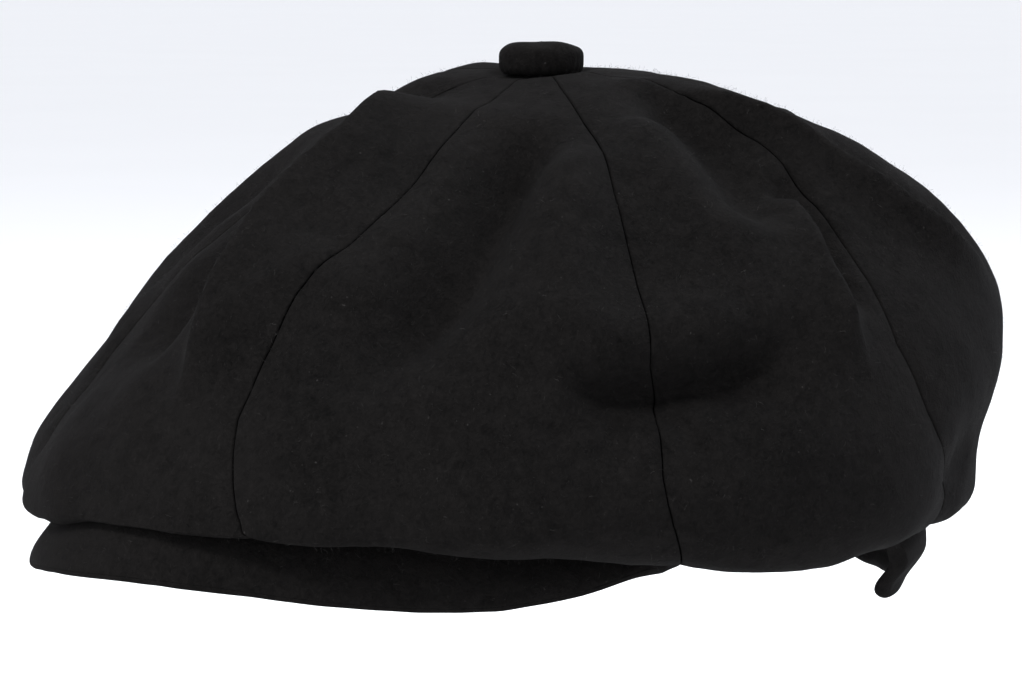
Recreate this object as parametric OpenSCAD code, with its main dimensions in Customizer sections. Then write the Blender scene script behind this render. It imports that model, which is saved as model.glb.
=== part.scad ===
// Eight-panel newsboy cap with a covered button, a stiff visor and a fold-down neck flap.
// Frame: origin at the centre of the head opening, +Z up, the visor points to -Y, millimetres.

/* [Head and band] */
// Half-width of the head opening, side to side
head_a = 82; // [76:0.5:88]
// Half-length of the head opening, front to back
head_b = 99; // [94:0.5:104]
// Height of the head band
band_h = 32; // [24:1:38]
// How far the rim rises over the forehead, where the visor is sewn
rim_rise = 20; // [12:1:24]
// Thickness of the sweatband
sweatband_t = 1.2; // [0.8:0.1:1.6]
// Thickness of the stiffening strip
interlining_t = 0.9; // [0.5:0.1:1.2]
// Thickness of the wool facing of the band
facing_t = 1.6; // [1.2:0.1:1.9]

/* [Crown] */
// Height of the crown's top above the head opening
crown_h = 120.5; // [112:0.5:128]
// Half-width of the crown
crown_half_w = 125; // [120:1:132]
// Reach of the crown in front of the head's axis
crown_front = 141; // [136:1:142]
// Reach of the crown behind the head's axis
crown_back = 124; // [120:1:130]
// Thickness of the wool cloth with its backing
cloth_t = 2; // [1.4:0.1:2.4]
// Gap left between two panels at a seam
seam_gap = 0.2; // [0.1:0.1:0.6]

/* [Lining] */
// Gap between the crown cloth and the lining
lining_gap = 5; // [4:0.5:7]
// Thickness of the lining
lining_t = 0.8; // [0.5:0.1:1.2]

/* [Button] */
// Diameter of the covered button
button_d = 22.7; // [20:0.1:25]
// Height of the covered button
button_h = 6.2; // [5:0.1:7]

/* [Visor] */
// Half-width of the visor where it meets the band
visor_half_w = 91; // [90:0.5:94]
// Reach of the visor in front of the head's axis
visor_reach = 147; // [142:1:152]
// How far the visor domes above a straight slope
visor_dome = 4; // [1:0.5:5]
// Thickness of the visor board
board_t = 2.2; // [1.6:0.1:2.6]
// Thickness of the wool cloth over the board
visor_cloth_t = 1.5; // [1.1:0.1:1.8]
// Angle from the front at which the visor ends
visor_end = 76; // [70:1:80]

/* [Neck flap] */
// Angle from the back at which the flap ends
flap_end = 56; // [40:1:60]
// How far the folded flap hangs below the head opening
flap_drop = 21; // [18:1:30]
// Thickness of the flap's wool cloth
flap_cloth_t = 1.3; // [1:0.1:1.4]

/* [Label] */
// Width of the blank woven label
label_w = 46; // [36:1:56]
// Length of the blank woven label
label_l = 28; // [20:1:34]

/* [Quality] */
// Steps across one crown panel
panel_steps = 10; // [6:1:12]
// Steps from the button to the hem
profile_steps = 14; // [10:1:16]

/* [Hidden] */
hole_r = 3;
air = 0.1;
steps_round = 48;
steps_visor = 26;
round_fn = 48;
panel_angle = 45;

WOOL = [0.13, 0.125, 0.125];
SATIN = [0.05, 0.05, 0.055];
TAPE = [0.07, 0.07, 0.075];
BOARD = [0.18, 0.18, 0.18];
FLEECE = [0.1, 0.1, 0.105];
METAL = [0.62, 0.62, 0.6];
LABEL = [0.2, 0.2, 0.21];

// ---- Curves shared by the pieces. Angles run from the front (-Y) to the wearer's left (+X). ----

function lerp(a, b, t) = a + (b - a) * t;

function polar(r, phi, z) = [r * sin(phi), -r * cos(phi), z];

// Radius of the head oval grown outward by o.
function band_r(phi, o) =
  1 / sqrt(pow(sin(phi) / (head_a + o), 2) + pow(cos(phi) / (head_b + o), 2));

// Height of the band's lower rim: it rises over the forehead.
function rim_z(phi) =
  let (p = abs(phi > 180 ? phi - 360 : phi))
  p >= visor_end ? 0 : rim_rise * pow(cos(p * 90 / visor_end), 1.15);

// 1 at the front, 0 from the sides backwards.
function frontness(phi) = max(0, cos(phi));

// Furthest reach of the crown.
function crown_r(phi) =
  let (mean = (crown_front + crown_back) / 2)
  (mean + crown_half_w) / 2
  + (crown_front - crown_back) / 2 * cos(phi)
  + (mean - crown_half_w) / 2 * cos(2 * phi);

// Height at which the crown reaches furthest.
function crown_zm(phi) = 27 - 14 * cos(phi);

// How round the crown's shoulder is.
function crown_p(phi) = 1.78 - 0.34 * cos(phi);

// Height of the crown's lowest edge: it rests on the visor in front.
function crown_zb(phi) = 4.6 + 7.9 * pow(frontness(phi), 1.2);

// Offset of the band's outer face.
band_out = sweatband_t + interlining_t + facing_t + 2 * air;

function quarter(r, big_r, low, high, p) =
  low + (high - low) * pow(max(0, 1 - pow(min(r / big_r, 1), p)), 1 / p);

function bezier(a, b, c, d, t) =
  a * pow(1 - t, 3) + b * 3 * t * pow(1 - t, 2) + c * 3 * t * t * (1 - t) + d * pow(t, 3);

// Share of the profile's steps spent above the furthest reach.
upper_share = 0.62;

// Outer face of the crown at angle phi, from the button (t = 0) to the hem (t = 1), as [r, z].
function crown_at(phi, t) =
  let (R = crown_r(phi), zm = crown_zm(phi), zb = crown_zb(phi), p = crown_p(phi))
  let (hem = [band_r(phi, band_out + 0.3), rim_z(phi) + 8])
  t <= upper_share
  ? let (a = 90 * t / upper_share, r = lerp(hole_r, R, sin(a)))
    [r, quarter(r, R, zm, crown_h, p)]
  : bezier([R, zm], [R + 1, lerp(zm, zb, 0.65)], [R - 13, zb - 3.6 + 9 * frontness(phi)], hem,
           (t - upper_share) / (1 - upper_share));

// The same profile moved inward by d, square to the cloth.
function crown_in(phi, t, d) =
  let (e = 0.012)
  let (a = crown_at(phi, max(0, t - e)), b = crown_at(phi, min(1, t + e)))
  let (v = (b - a) / max(0.001, norm(b - a)), here = crown_at(phi, t))
  [max(hole_r, here[0] - v[1] * -d), here[1] - v[0] * d];

// Closed skin between two grids of points of the same size.
function grid_faces(n, m) =
  let (c = (n + 1) * (m + 1), w = m + 1)
  concat(
    [for (i = [0 : n - 1], j = [0 : m - 1]) [i * w + j, i * w + j + 1, (i + 1) * w + j]],
    [for (i = [0 : n - 1], j = [0 : m - 1]) [i * w + j + 1, (i + 1) * w + j + 1, (i + 1) * w + j]],
    [for (i = [0 : n - 1], j = [0 : m - 1]) [c + i * w + j, c + (i + 1) * w + j, c + i * w + j + 1]],
    [for (i = [0 : n - 1], j = [0 : m - 1])
      [c + i * w + j + 1, c + (i + 1) * w + j, c + (i + 1) * w + j + 1]],
    [for (j = [0 : m - 1]) [j, c + j, j + 1]],
    [for (j = [0 : m - 1]) [j + 1, c + j, c + j + 1]],
    [for (j = [0 : m - 1]) [n * w + j, n * w + j + 1, c + n * w + j]],
    [for (j = [0 : m - 1]) [n * w + j + 1, c + n * w + j + 1, c + n * w + j]],
    [for (i = [0 : n - 1]) [i * w, (i + 1) * w, c + i * w]],
    [for (i = [0 : n - 1]) [(i + 1) * w, c + (i + 1) * w, c + i * w]],
    [for (i = [0 : n - 1]) [i * w + m, c + i * w + m, (i + 1) * w + m]],
    [for (i = [0 : n - 1]) [(i + 1) * w + m, c + i * w + m, c + (i + 1) * w + m]]
  );

module sheet(outer, inner, n, m) {
  polyhedron(concat(outer, inner), grid_faces(n, m), convexity = 8);
}

// ---- Crown ----

// One gore of the crown, centred on an angle from the front.
module crown_panel(centre) {
  function edge_gap(r, s) = s * (panel_angle / 2 - seam_gap * 90 / (PI * max(r, hole_r)));
  function place(q, s) = polar(q[0], centre + edge_gap(q[0], s), q[1]);
  outer = [for (i = [0 : panel_steps], j = [0 : profile_steps])
    let (s = 2 * i / panel_steps - 1, t = j / profile_steps)
    place(crown_at(centre + s * panel_angle / 2, t), s)];
  inner = [for (i = [0 : panel_steps], j = [0 : profile_steps])
    let (s = 2 * i / panel_steps - 1, t = j / profile_steps)
    place(crown_in(centre + s * panel_angle / 2, t, cloth_t), s)];
  color(WOOL) sheet(outer, inner, panel_steps, profile_steps);
}

module crown_panel_front() crown_panel(0);
module crown_panel_front_left() crown_panel(45);
module crown_panel_left() crown_panel(90);
module crown_panel_back_left() crown_panel(135);
module crown_panel_back() crown_panel(180);
module crown_panel_back_right() crown_panel(225);
module crown_panel_right() crown_panel(270);
module crown_panel_front_right() crown_panel(315);

// ---- Lining ----

lining_steps = 12;
lining_rows = 10;

// Lining profile at angle phi, o further in: from the label down to the top of the sweatband.
function lining_at(phi, t, o) =
  let (d = cloth_t + lining_gap + o, turn = 0.41, low = crown_in(phi, turn, d))
  let (hem = [band_r(phi, band_out - o), rim_z(phi) + band_h + 1.2 + o])
  t <= 0.7
  ? crown_in(phi, turn * t / 0.7, d)
  : bezier(low, low + [6, -9], [low[0] - 6, hem[1] - 2], hem, (t - 0.7) / 0.3);

module lining_panel(centre) {
  function place(q, s) = polar(q[0], centre + s * (45 - 9 / (PI * max(q[0], hole_r))), q[1]);
  outer = [for (i = [0 : lining_steps], j = [0 : lining_rows])
    let (s = 2 * i / lining_steps - 1)
    place(lining_at(centre + s * 45, j / lining_rows, 0), s)];
  inner = [for (i = [0 : lining_steps], j = [0 : lining_rows])
    let (s = 2 * i / lining_steps - 1)
    place(lining_at(centre + s * 45, j / lining_rows, lining_t), s)];
  color(SATIN) sheet(outer, inner, lining_steps, lining_rows);
}

module lining_front() lining_panel(0);
module lining_left() lining_panel(90);
module lining_back() lining_panel(180);
module lining_right() lining_panel(270);

// Blank woven label under the top of the lining.
module lining_label() {
  drop = cloth_t + lining_gap + lining_t + 1.8;
  function sag(x, y) =
    let (r = norm([x, y]), phi = atan2(x, -y))
    quarter(r, crown_r(phi), crown_zm(phi), crown_h, crown_p(phi)) - drop;
  n = 8;
  m = 6;
  pts = [for (i = [0 : n], j = [0 : m])
    [lerp(-label_w / 2, label_w / 2, i / n), lerp(label_l / 2, -label_l / 2, j / m) + 30]];
  color(LABEL) sheet(
    [for (q = pts) [q[0], q[1], sag(q[0], q[1])]],
    [for (q = pts) [q[0], q[1], sag(q[0], q[1]) - 0.6]],
    n, m);
}

// ---- Head band ----

// A strip that follows the head oval all the way round and rises over the forehead.
module band_strip(inner_o, t, low, high) {
  n = steps_round;
  function ring(o, up) = [for (i = [0 : n - 1])
    let (phi = 360 * i / n) polar(band_r(phi, o), phi, rim_z(phi) + up)];
  pts = concat(ring(inner_o, low), ring(inner_o + t, low), ring(inner_o + t, high), ring(inner_o, high));
  faces = [for (k = [0 : 3], i = [0 : n - 1], half = [0 : 1])
    let (a = k * n + i, b = k * n + (i + 1) % n)
    let (c = ((k + 1) % 4) * n + i, d = ((k + 1) % 4) * n + (i + 1) % n)
    half == 0 ? [a, b, c] : [b, d, c]];
  polyhedron(pts, faces, convexity = 8);
}

module headband_facing() {
  color(WOOL) band_strip(sweatband_t + interlining_t + 2 * air, facing_t, 0, band_h);
}

module headband_interlining() {
  color(BOARD) band_strip(sweatband_t + air, interlining_t, 1, band_h - 1);
}

module sweatband() {
  color(TAPE) band_strip(0, sweatband_t, 0.4, band_h - 0.6);
}

// ---- Visor ----

// Height of the visor's edge at angles round it: it arches over the brow, bent a little to one side.
visor_edge_z = [
  [-87, 3], [-80, -1], [-70, -4.4], [-60, -5.8], [-45, -6.2], [-30, -5.2], [-15, -2.2], [0, 0.1], [15, 1.6],
  [30, 0.8], [45, -2.3], [60, -4.8], [70, -4.3], [80, -0.8], [87, 3.4]
];

// Middle surface of the visor: s from -1 to 1 across, w from the band (0) to the edge (1).
function visor_mid(s, w) =
  let (phi = visor_end * s, t = 87 * s)
  let (in_r = band_r(phi, band_out + 0.9))
  let (a = polar(in_r, phi, rim_z(phi) + 1.2))
  let (b = [visor_half_w * sin(t), -24 - (visor_reach - 24) * cos(t), lookup(t, visor_edge_z)])
  lerp(a, b, w) + [0, 0, visor_dome * sin(180 * pow(w, 1.4)) * (1 - s * s)];

// Rows of the visor's grid, from the band to the edge; the board stops one row short.
visor_rows = [0, 0.2, 0.4, 0.6, 0.8, 0.93, 1];

// A layer between two heights above the middle surface. At the edge it closes towards end_z.
module visor_layer(low, high, end_z, first, last, rows) {
  function at(i, j, up, shut) =
    visor_mid(2 * i / steps_visor - 1, visor_rows[j]) + [0, 0, j == 6 ? shut : up];
  sheet(
    [for (i = [first : last], j = [0 : rows]) at(i, j, high, end_z + 0.4)],
    [for (i = [first : last], j = [0 : rows]) at(i, j, low, end_z - 0.4)],
    last - first, rows);
}

module visor_board() {
  color(BOARD) visor_layer(-board_t / 2, board_t / 2, 0, 1, steps_visor - 1, 5);
}

module visor_top_cloth() {
  color(WOOL) visor_layer(board_t / 2 + 0.15, board_t / 2 + 0.15 + visor_cloth_t, 0.6, 0, steps_visor, 6);
}

module visor_under_cloth() {
  color(WOOL) visor_layer(-board_t / 2 - 0.15 - visor_cloth_t, -board_t / 2 - 0.15, -0.6, 0, steps_visor, 6);
}

// ---- Neck flap ----

flap_in = band_out + 0.5;
flap_top = 2.6;

// The flap is deep at the back and runs out towards its ends.
function flap_depth(phi) =
  let (k = min(1, (flap_end + 3 - abs(phi - 180)) / 15)) 0.12 + 0.88 * k * k * (3 - 2 * k);

// A strip with the given section swept round the back of the head, skip cells short at each end;
// the section is [offset, height].
module flap_sweep(section, skip) {
  n = 28;
  m = n - 2 * skip;
  k = len(section);
  pts = [for (i = [skip : n - skip], q = section)
    let (phi = 180 + flap_end * (2 * i / n - 1))
    polar(band_r(phi, q[0]), phi, flap_top - (flap_top - q[1]) * flap_depth(phi))];
  sides = [for (i = [0 : m - 1], j = [0 : k - 1], half = [0 : 1])
    let (a = i * k + j, b = i * k + (j + 1) % k, c = a + k, d = b + k)
    half == 0 ? [a, c, b] : [b, c, d]];
  ends = [[for (j = [0 : k - 1]) j], [for (j = [k - 1 : -1 : 0]) m * k + j]];
  polyhedron(pts, concat(sides, ends), convexity = 8);
}

// Wool cloth folded back on itself at the bottom.
module neck_flap_cloth() {
  w = 4.6;
  c = flap_cloth_t;
  low = -flap_drop;
  color(WOOL) flap_sweep([
    [flap_in, flap_top], [flap_in, low + 2.2], [flap_in + 1, low + 0.5], [flap_in + w / 2, low],
    [flap_in + w - 1, low + 0.5], [flap_in + w, low + 2.2], [flap_in + w, flap_top],
    [flap_in + w - c, flap_top], [flap_in + w - c, low + c + 0.8], [flap_in + c, low + c + 0.8],
    [flap_in + c, flap_top]
  ], 0);
}

// Fleece held inside the fold.
module neck_flap_fleece() {
  w = 4.6;
  c = flap_cloth_t + 0.15;
  color(FLEECE) flap_sweep([
    [flap_in + c, flap_top - 0.4], [flap_in + c, -flap_drop + c + 1],
    [flap_in + w - c, -flap_drop + c + 1], [flap_in + w - c, flap_top - 0.4]
  ], 1);
}

// ---- Button ----

button_z = crown_h + 0.3;
shank_r = 1.6;

// Wool cloth gathered over the metal shell.
module button_cover() {
  r = button_d / 2;
  out = concat([[0, button_h]], [for (i = [1 : 10])
    let (a = 9 * i) [r - 2.6 + 2.6 * sin(a) - (r - 2.6) * (1 - i / 10), button_h - 2.4 * (1 - cos(a))]]);
  color(WOOL) translate([0, 0, button_z]) rotate_extrude($fn = round_fn) polygon(concat(
    out, [[r, 1.6], [r - 0.7, 0.4], [r - 2, 0], [r - 3, 0], [r - 3, 0.7], [r - 1.3, 1.2],
    [r - 1.1, button_h - 2.9], [r - 2.6, button_h - 1.7], [0, button_h - 1.1]]));
}

module button_shell() {
  r = button_d / 2 - 1.3;
  color(METAL) translate([0, 0, button_z]) rotate_extrude($fn = round_fn) polygon([
    [0, button_h - 1.25], [r - 1.4, button_h - 1.9], [r, button_h - 3.1], [r, 1.35],
    [r - 0.5, 1.35], [r - 0.5, button_h - 3.2], [r - 1.6, button_h - 2.4], [0, button_h - 1.75]]);
}

// Back plate with the shank that goes through the crown's centre.
module button_back() {
  r = button_d / 2 - 3.1;
  color(METAL) translate([0, 0, button_z]) union() {
    translate([0, 0, 0.1]) cylinder(r = r, h = 0.6, $fn = round_fn);
    translate([0, 0, -5.6]) cylinder(r = shank_r, h = 5.8, $fn = 24);
    translate([0, 0, -5.6]) cylinder(r = shank_r + 0.9, h = 0.6, $fn = 24);
  }
}

// Washer that clamps the crown's seam allowances from below.
module button_washer() {
  color(METAL) translate([0, 0, button_z - 4.8]) difference() {
    cylinder(r = 7, h = 0.6, $fn = round_fn);
    translate([0, 0, -1]) cylinder(r = shank_r + 0.1, h = 3, $fn = 24);
  }
}

crown_panel_front();
crown_panel_front_left();
crown_panel_left();
crown_panel_back_left();
crown_panel_back();
crown_panel_back_right();
crown_panel_right();
crown_panel_front_right();
lining_front();
lining_left();
lining_back();
lining_right();
headband_facing();
headband_interlining();
sweatband();
visor_board();
visor_top_cloth();
visor_under_cloth();
neck_flap_cloth();
neck_flap_fleece();
button_cover();
button_shell();
button_back();
button_washer();
lining_label();
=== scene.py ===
"""Eight-gore wool newsboy cap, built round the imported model's frame.

Lengths in the classes are metres unless a name ends in _mm. Angles are degrees from the front (-Y) towards the
wearer's left (+X). Along a gore, t runs from the button (0) over the shoulder to the hem (1).
"""

import logging
import math
from dataclasses import dataclass, field
from enum import Enum
from functools import lru_cache
from typing import Any, Callable, Sequence

import bmesh
import bpy
import numpy as np
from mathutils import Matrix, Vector


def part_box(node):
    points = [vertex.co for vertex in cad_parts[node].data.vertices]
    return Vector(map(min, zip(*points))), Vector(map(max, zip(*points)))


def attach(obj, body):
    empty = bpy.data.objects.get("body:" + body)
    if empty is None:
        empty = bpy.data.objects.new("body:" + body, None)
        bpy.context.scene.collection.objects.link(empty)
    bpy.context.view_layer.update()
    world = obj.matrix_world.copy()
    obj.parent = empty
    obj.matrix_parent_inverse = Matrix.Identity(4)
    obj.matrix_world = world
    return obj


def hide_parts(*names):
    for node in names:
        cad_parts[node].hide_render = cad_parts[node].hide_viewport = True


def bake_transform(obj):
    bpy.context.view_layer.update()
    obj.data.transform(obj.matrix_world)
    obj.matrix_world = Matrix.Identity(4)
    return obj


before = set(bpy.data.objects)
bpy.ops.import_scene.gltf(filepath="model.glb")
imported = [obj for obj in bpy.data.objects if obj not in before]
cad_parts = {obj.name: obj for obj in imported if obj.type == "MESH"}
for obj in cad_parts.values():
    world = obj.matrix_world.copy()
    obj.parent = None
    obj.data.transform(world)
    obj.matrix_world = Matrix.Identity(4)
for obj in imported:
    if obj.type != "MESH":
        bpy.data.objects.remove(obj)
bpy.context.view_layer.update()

LOG = logging.getLogger("newsboy_cap")
MM = 0.001
Array = np.ndarray


# ---------------------------------------------------------------- shared maths


def blend_in(low: float, high: float, x: Array) -> Array:
    """Rise smoothly from 0 at low to 1 at high.

    Args:
        low: Value at which the rise starts.
        high: Value at which it ends; it may be below low.
        x: Where to read the curve.

    Returns:
        The height of the curve at each x.
    """
    u = np.clip((np.asarray(x, float) - low) / (high - low), 0, 1)
    return u * u * (3 - 2 * u)


def polar(radius: Array, angle: Array, height: Array) -> Array:
    """Points at a radius and angle round the cap's axis.

    Args:
        radius: Distance from the axis.
        angle: Degrees from the front.
        height: Height above the head opening.

    Returns:
        An array of points, the coordinates last.
    """
    radius, a, height = np.broadcast_arrays(radius, np.radians(angle), height)
    return np.stack([radius * np.sin(a), -radius * np.cos(a), height], -1)


def one_turn(angle: Array) -> Array:
    """The same angle from -180 to 180 degrees."""
    return (np.asarray(angle, float) + 180) % 360 - 180


def bezier(points: Sequence[Array], k: Array) -> Array:
    """A cubic curve.

    Args:
        points: Its four control values.
        k: Place along it, from 0 to 1.

    Returns:
        The value at each place.
    """
    a, b, c, d = points
    return a * (1 - k) ** 3 + 3 * b * k * (1 - k) ** 2 + 3 * c * k * k * (1 - k) + d * k**3


def crowded_ends(cells: int) -> Array:
    """Places from -1 to 1, close together at both ends."""
    u = np.linspace(-1, 1, cells + 1)
    return np.sign(u) * np.sin(np.abs(u) * math.pi / 2)


def grid_normals(points: Array) -> Array:
    """Unit normals of a grid of points.

    Args:
        points: Grid of points, n by m by 3.

    Returns:
        One unit vector for each point, towards the side from which the first index runs
        clockwise of the second.
    """
    across, along = np.gradient(points, axis=0), np.gradient(points, axis=1)
    n = np.cross(across, along)
    return n / np.maximum(np.linalg.norm(n, axis=-1, keepdims=True), 1e-12)


@dataclass(frozen=True)
class Unevenness:
    """Smooth seeded unevenness of hand-sewn cloth, as a sum of waves in space."""

    seed: int
    wavelength: float
    waves: int = 14

    def at(self, points: Array) -> Array:
        """Value at each point, mostly from -1 to 1."""
        rng = np.random.default_rng(self.seed)
        ways = rng.normal(size=(self.waves, 3))
        ways /= np.linalg.norm(ways, axis=1, keepdims=True)
        steps = 2 * np.pi / (self.wavelength * rng.uniform(0.75, 1.5, self.waves))
        phases = rng.uniform(0, 2 * np.pi, self.waves)
        total = np.zeros(points.shape[:-1])
        for way, step, phase in zip(ways, steps, phases):
            total += np.cos(points @ (way * step) + phase)
        return total * math.sqrt(2 / self.waves) / 1.4


# ---------------------------------------------------------------- meshes


class MeshKit:
    """Builds plain meshes from grids of points."""

    @staticmethod
    def object(name: str, points: Array, faces: list, uvs: Array | None = None) -> bpy.types.Object:
        """Make a smooth-shaded object at the origin.

        Args:
            name: The piece's name.
            points: Its points in metres, in the shared frame.
            faces: Tuples of point indices.
            uvs: Optional texture coordinates, one for each point.

        Returns:
            The linked object.
        """
        mesh = bpy.data.meshes.new(name)
        mesh.from_pydata(points.reshape(-1, 3).tolist(), [], faces)
        mesh.validate()
        mesh.polygons.foreach_set("use_smooth", np.ones(len(mesh.polygons), bool))
        if uvs is not None:
            layer = mesh.uv_layers.new(name="cloth")
            index = np.zeros(len(mesh.loops), np.int32)
            mesh.loops.foreach_get("vertex_index", index)
            layer.data.foreach_set("uv", uvs.reshape(-1, 2)[index].astype(np.float32).ravel())
        mesh.update()
        obj = bpy.data.objects.new(name, mesh)
        bpy.context.scene.collection.objects.link(obj)
        return obj

    @staticmethod
    def grid_faces(at: Array) -> Array:
        """Faces of a grid of point indices."""
        return np.stack([at[:-1, :-1], at[1:, :-1], at[1:, 1:], at[:-1, 1:]], -1).reshape(-1, 4)

    @classmethod
    def shell_faces(cls, n: int, m: int) -> list:
        """Faces of a closed shell between two grids of n by m points, the outer one first."""
        c = n * m
        at = np.arange(c).reshape(n, m)
        outer = cls.grid_faces(at)
        inner = outer[:, [0, 3, 2, 1]] + c
        rim = np.concatenate([at[:, 0], at[-1, 1:], at[-2::-1, -1], at[0, -2:0:-1]])
        nxt = np.roll(rim, -1)
        walls = np.stack([rim, rim + c, nxt + c, nxt], -1)
        return np.concatenate([outer, inner, walls]).tolist()

    @classmethod
    def shell(cls, name: str, outer: Array, inner: Array, uvs: Array | None = None) -> bpy.types.Object:
        """Closed shell between two grids of points.

        Args:
            name: The piece's name.
            outer: Grid on the side that faces out.
            inner: Matching grid on the other side.
            uvs: Optional texture coordinates of one grid.

        Returns:
            The linked object, its faces pointing out.
        """
        n, m = outer.shape[:2]
        both = None if uvs is None else np.concatenate([uvs.reshape(-1, 2)] * 2)
        points = np.concatenate([outer.reshape(-1, 3), inner.reshape(-1, 3)])
        return cls.outward(cls.object(name, points, cls.shell_faces(n, m), both))

    @classmethod
    def swept(cls, name: str, rings: Array, closed: bool, uvs: Array | None = None) -> bpy.types.Object:
        """Solid swept through rings of points.

        Args:
            name: The piece's name.
            rings: Rings by points by 3; each ring is a closed section.
            closed: Whether the last ring joins the first.
            uvs: Optional texture coordinates of the points.

        Returns:
            The linked object, its faces pointing out.
        """
        n, k = rings.shape[:2]
        faces = []
        for i in range(n if closed else n - 1):
            a, b = i * k, ((i + 1) % n) * k
            faces += [(a + j, a + (j + 1) % k, b + (j + 1) % k, b + j) for j in range(k)]
        if not closed:
            faces += [tuple(range(k - 1, -1, -1)), tuple((n - 1) * k + j for j in range(k))]
        return cls.outward(cls.object(name, rings.reshape(-1, 3), faces, uvs))

    @staticmethod
    def outward(obj: bpy.types.Object) -> bpy.types.Object:
        """Turn the faces of a closed mesh outwards, if its volume says that they point in."""
        mesh = obj.data
        mesh.calc_loop_triangles()
        corners = np.zeros(len(mesh.loop_triangles) * 3, np.int32)
        mesh.loop_triangles.foreach_get("vertices", corners)
        co = np.zeros(len(mesh.vertices) * 3, np.float32)
        mesh.vertices.foreach_get("co", co)
        a, b, c = (co.reshape(-1, 3)[corners.reshape(-1, 3)[:, i]].astype(float) for i in range(3))
        if (a * np.cross(b, c)).sum() < 0:
            mesh.flip_normals()
        mesh.update()
        return obj

    @staticmethod
    def merged(obj: bpy.types.Object) -> bpy.types.Object:
        """Weld points that lie on each other, such as those at a pole."""
        work = bmesh.new()
        work.from_mesh(obj.data)
        bmesh.ops.remove_doubles(work, verts=work.verts, dist=1e-6)
        bmesh.ops.recalc_face_normals(work, faces=work.faces)
        work.to_mesh(obj.data)
        work.free()
        return MeshKit.outward(obj)


# ---------------------------------------------------------------- the cap's own forms


@dataclass(frozen=True)
class HeadOval:
    """The oval that every band follows, with the rim that rises over the forehead."""

    half_width: float
    half_length: float
    rim_rise: float = 0.020
    visor_end: float = 76.0

    def radius(self, angle: Array, out: float | Array = 0.0) -> Array:
        """Radius of the oval grown outward by out."""
        a = np.radians(angle)
        return 1 / np.sqrt(
            (np.sin(a) / (self.half_width + out)) ** 2 + (np.cos(a) / (self.half_length + out)) ** 2
        )

    def rim(self, angle: Array) -> Array:
        """Height of the band's lower rim."""
        turn = np.abs(one_turn(angle))
        inside = np.cos(np.radians(np.minimum(turn, self.visor_end) * 90 / self.visor_end))
        return self.rim_rise * np.maximum(inside, 0) ** 1.15


@dataclass(frozen=True)
class Fold:
    """A ridge or valley in the cloth along a path of (angle, t) places.

    height is its rise above the smooth form, negative for a valley; before and after are its
    half-widths on the two sides of the path, and crest from 0 to 1 makes its top sharper.
    """

    path: tuple[tuple[float, float], ...]
    height: float
    before: float
    after: float
    crest: float = 0.0
    start: float = 0.25
    end: float = 0.25

    def lift(self, points: Array, out: Array, place: Callable[[Array, Array], Array]) -> Array:
        """How far the fold moves the cloth outward.

        Args:
            points: Points of the smooth form.
            out: Its outward normals.
            place: Gives the smooth form's points from angles and t.

        Returns:
            The distance for each point, in metres.
        """
        knots = np.array(self.path, float)
        u = np.linspace(0, len(knots) - 1, 8 * (len(knots) - 1) + 1)
        line = place(*(np.interp(u, np.arange(len(knots)), knots[:, k]) for k in range(2)))
        reach = 3.2 * max(self.before, self.after)
        near_by = ((points > line.min(0) - reach) & (points < line.max(0) + reach)).all(-1)
        flat, normals = points[near_by], out[near_by]
        best = np.full(len(flat), np.inf)
        side = np.zeros(len(flat))
        along = np.zeros(len(flat))
        length = np.concatenate([[0], np.cumsum(np.linalg.norm(np.diff(line, axis=0), axis=1))])
        for i, (a, b) in enumerate(zip(line[:-1], line[1:])):
            d = b - a
            k = np.clip((flat - a) @ d / (d @ d), 0, 1)
            gap = flat - a - k[:, None] * d
            size = np.linalg.norm(gap, axis=1)
            near = size < best
            best[near] = size[near]
            side[near] = np.einsum("ij,ij->i", np.cross(d, normals[near]), gap[near])
            along[near] = (length[i] + k[near] * (length[i + 1] - length[i])) / length[-1]
        width = np.where(side > 0, self.after, self.before)
        x = best / width
        round_top = np.exp(-(x**2))
        sharp_top = np.exp(-1.5 * (np.sqrt(x**2 + 0.02) - math.sqrt(0.02)))
        top = round_top + self.crest * (sharp_top - round_top)
        ends = blend_in(0, max(self.start, 1e-3), along) * blend_in(1, 1 - max(self.end, 1e-3), along)
        fade = blend_in(reach, 0.7 * reach, best)
        lift = np.zeros(points.shape[:-1])
        lift[near_by] = self.height * top * ends * fade
        return lift


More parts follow.
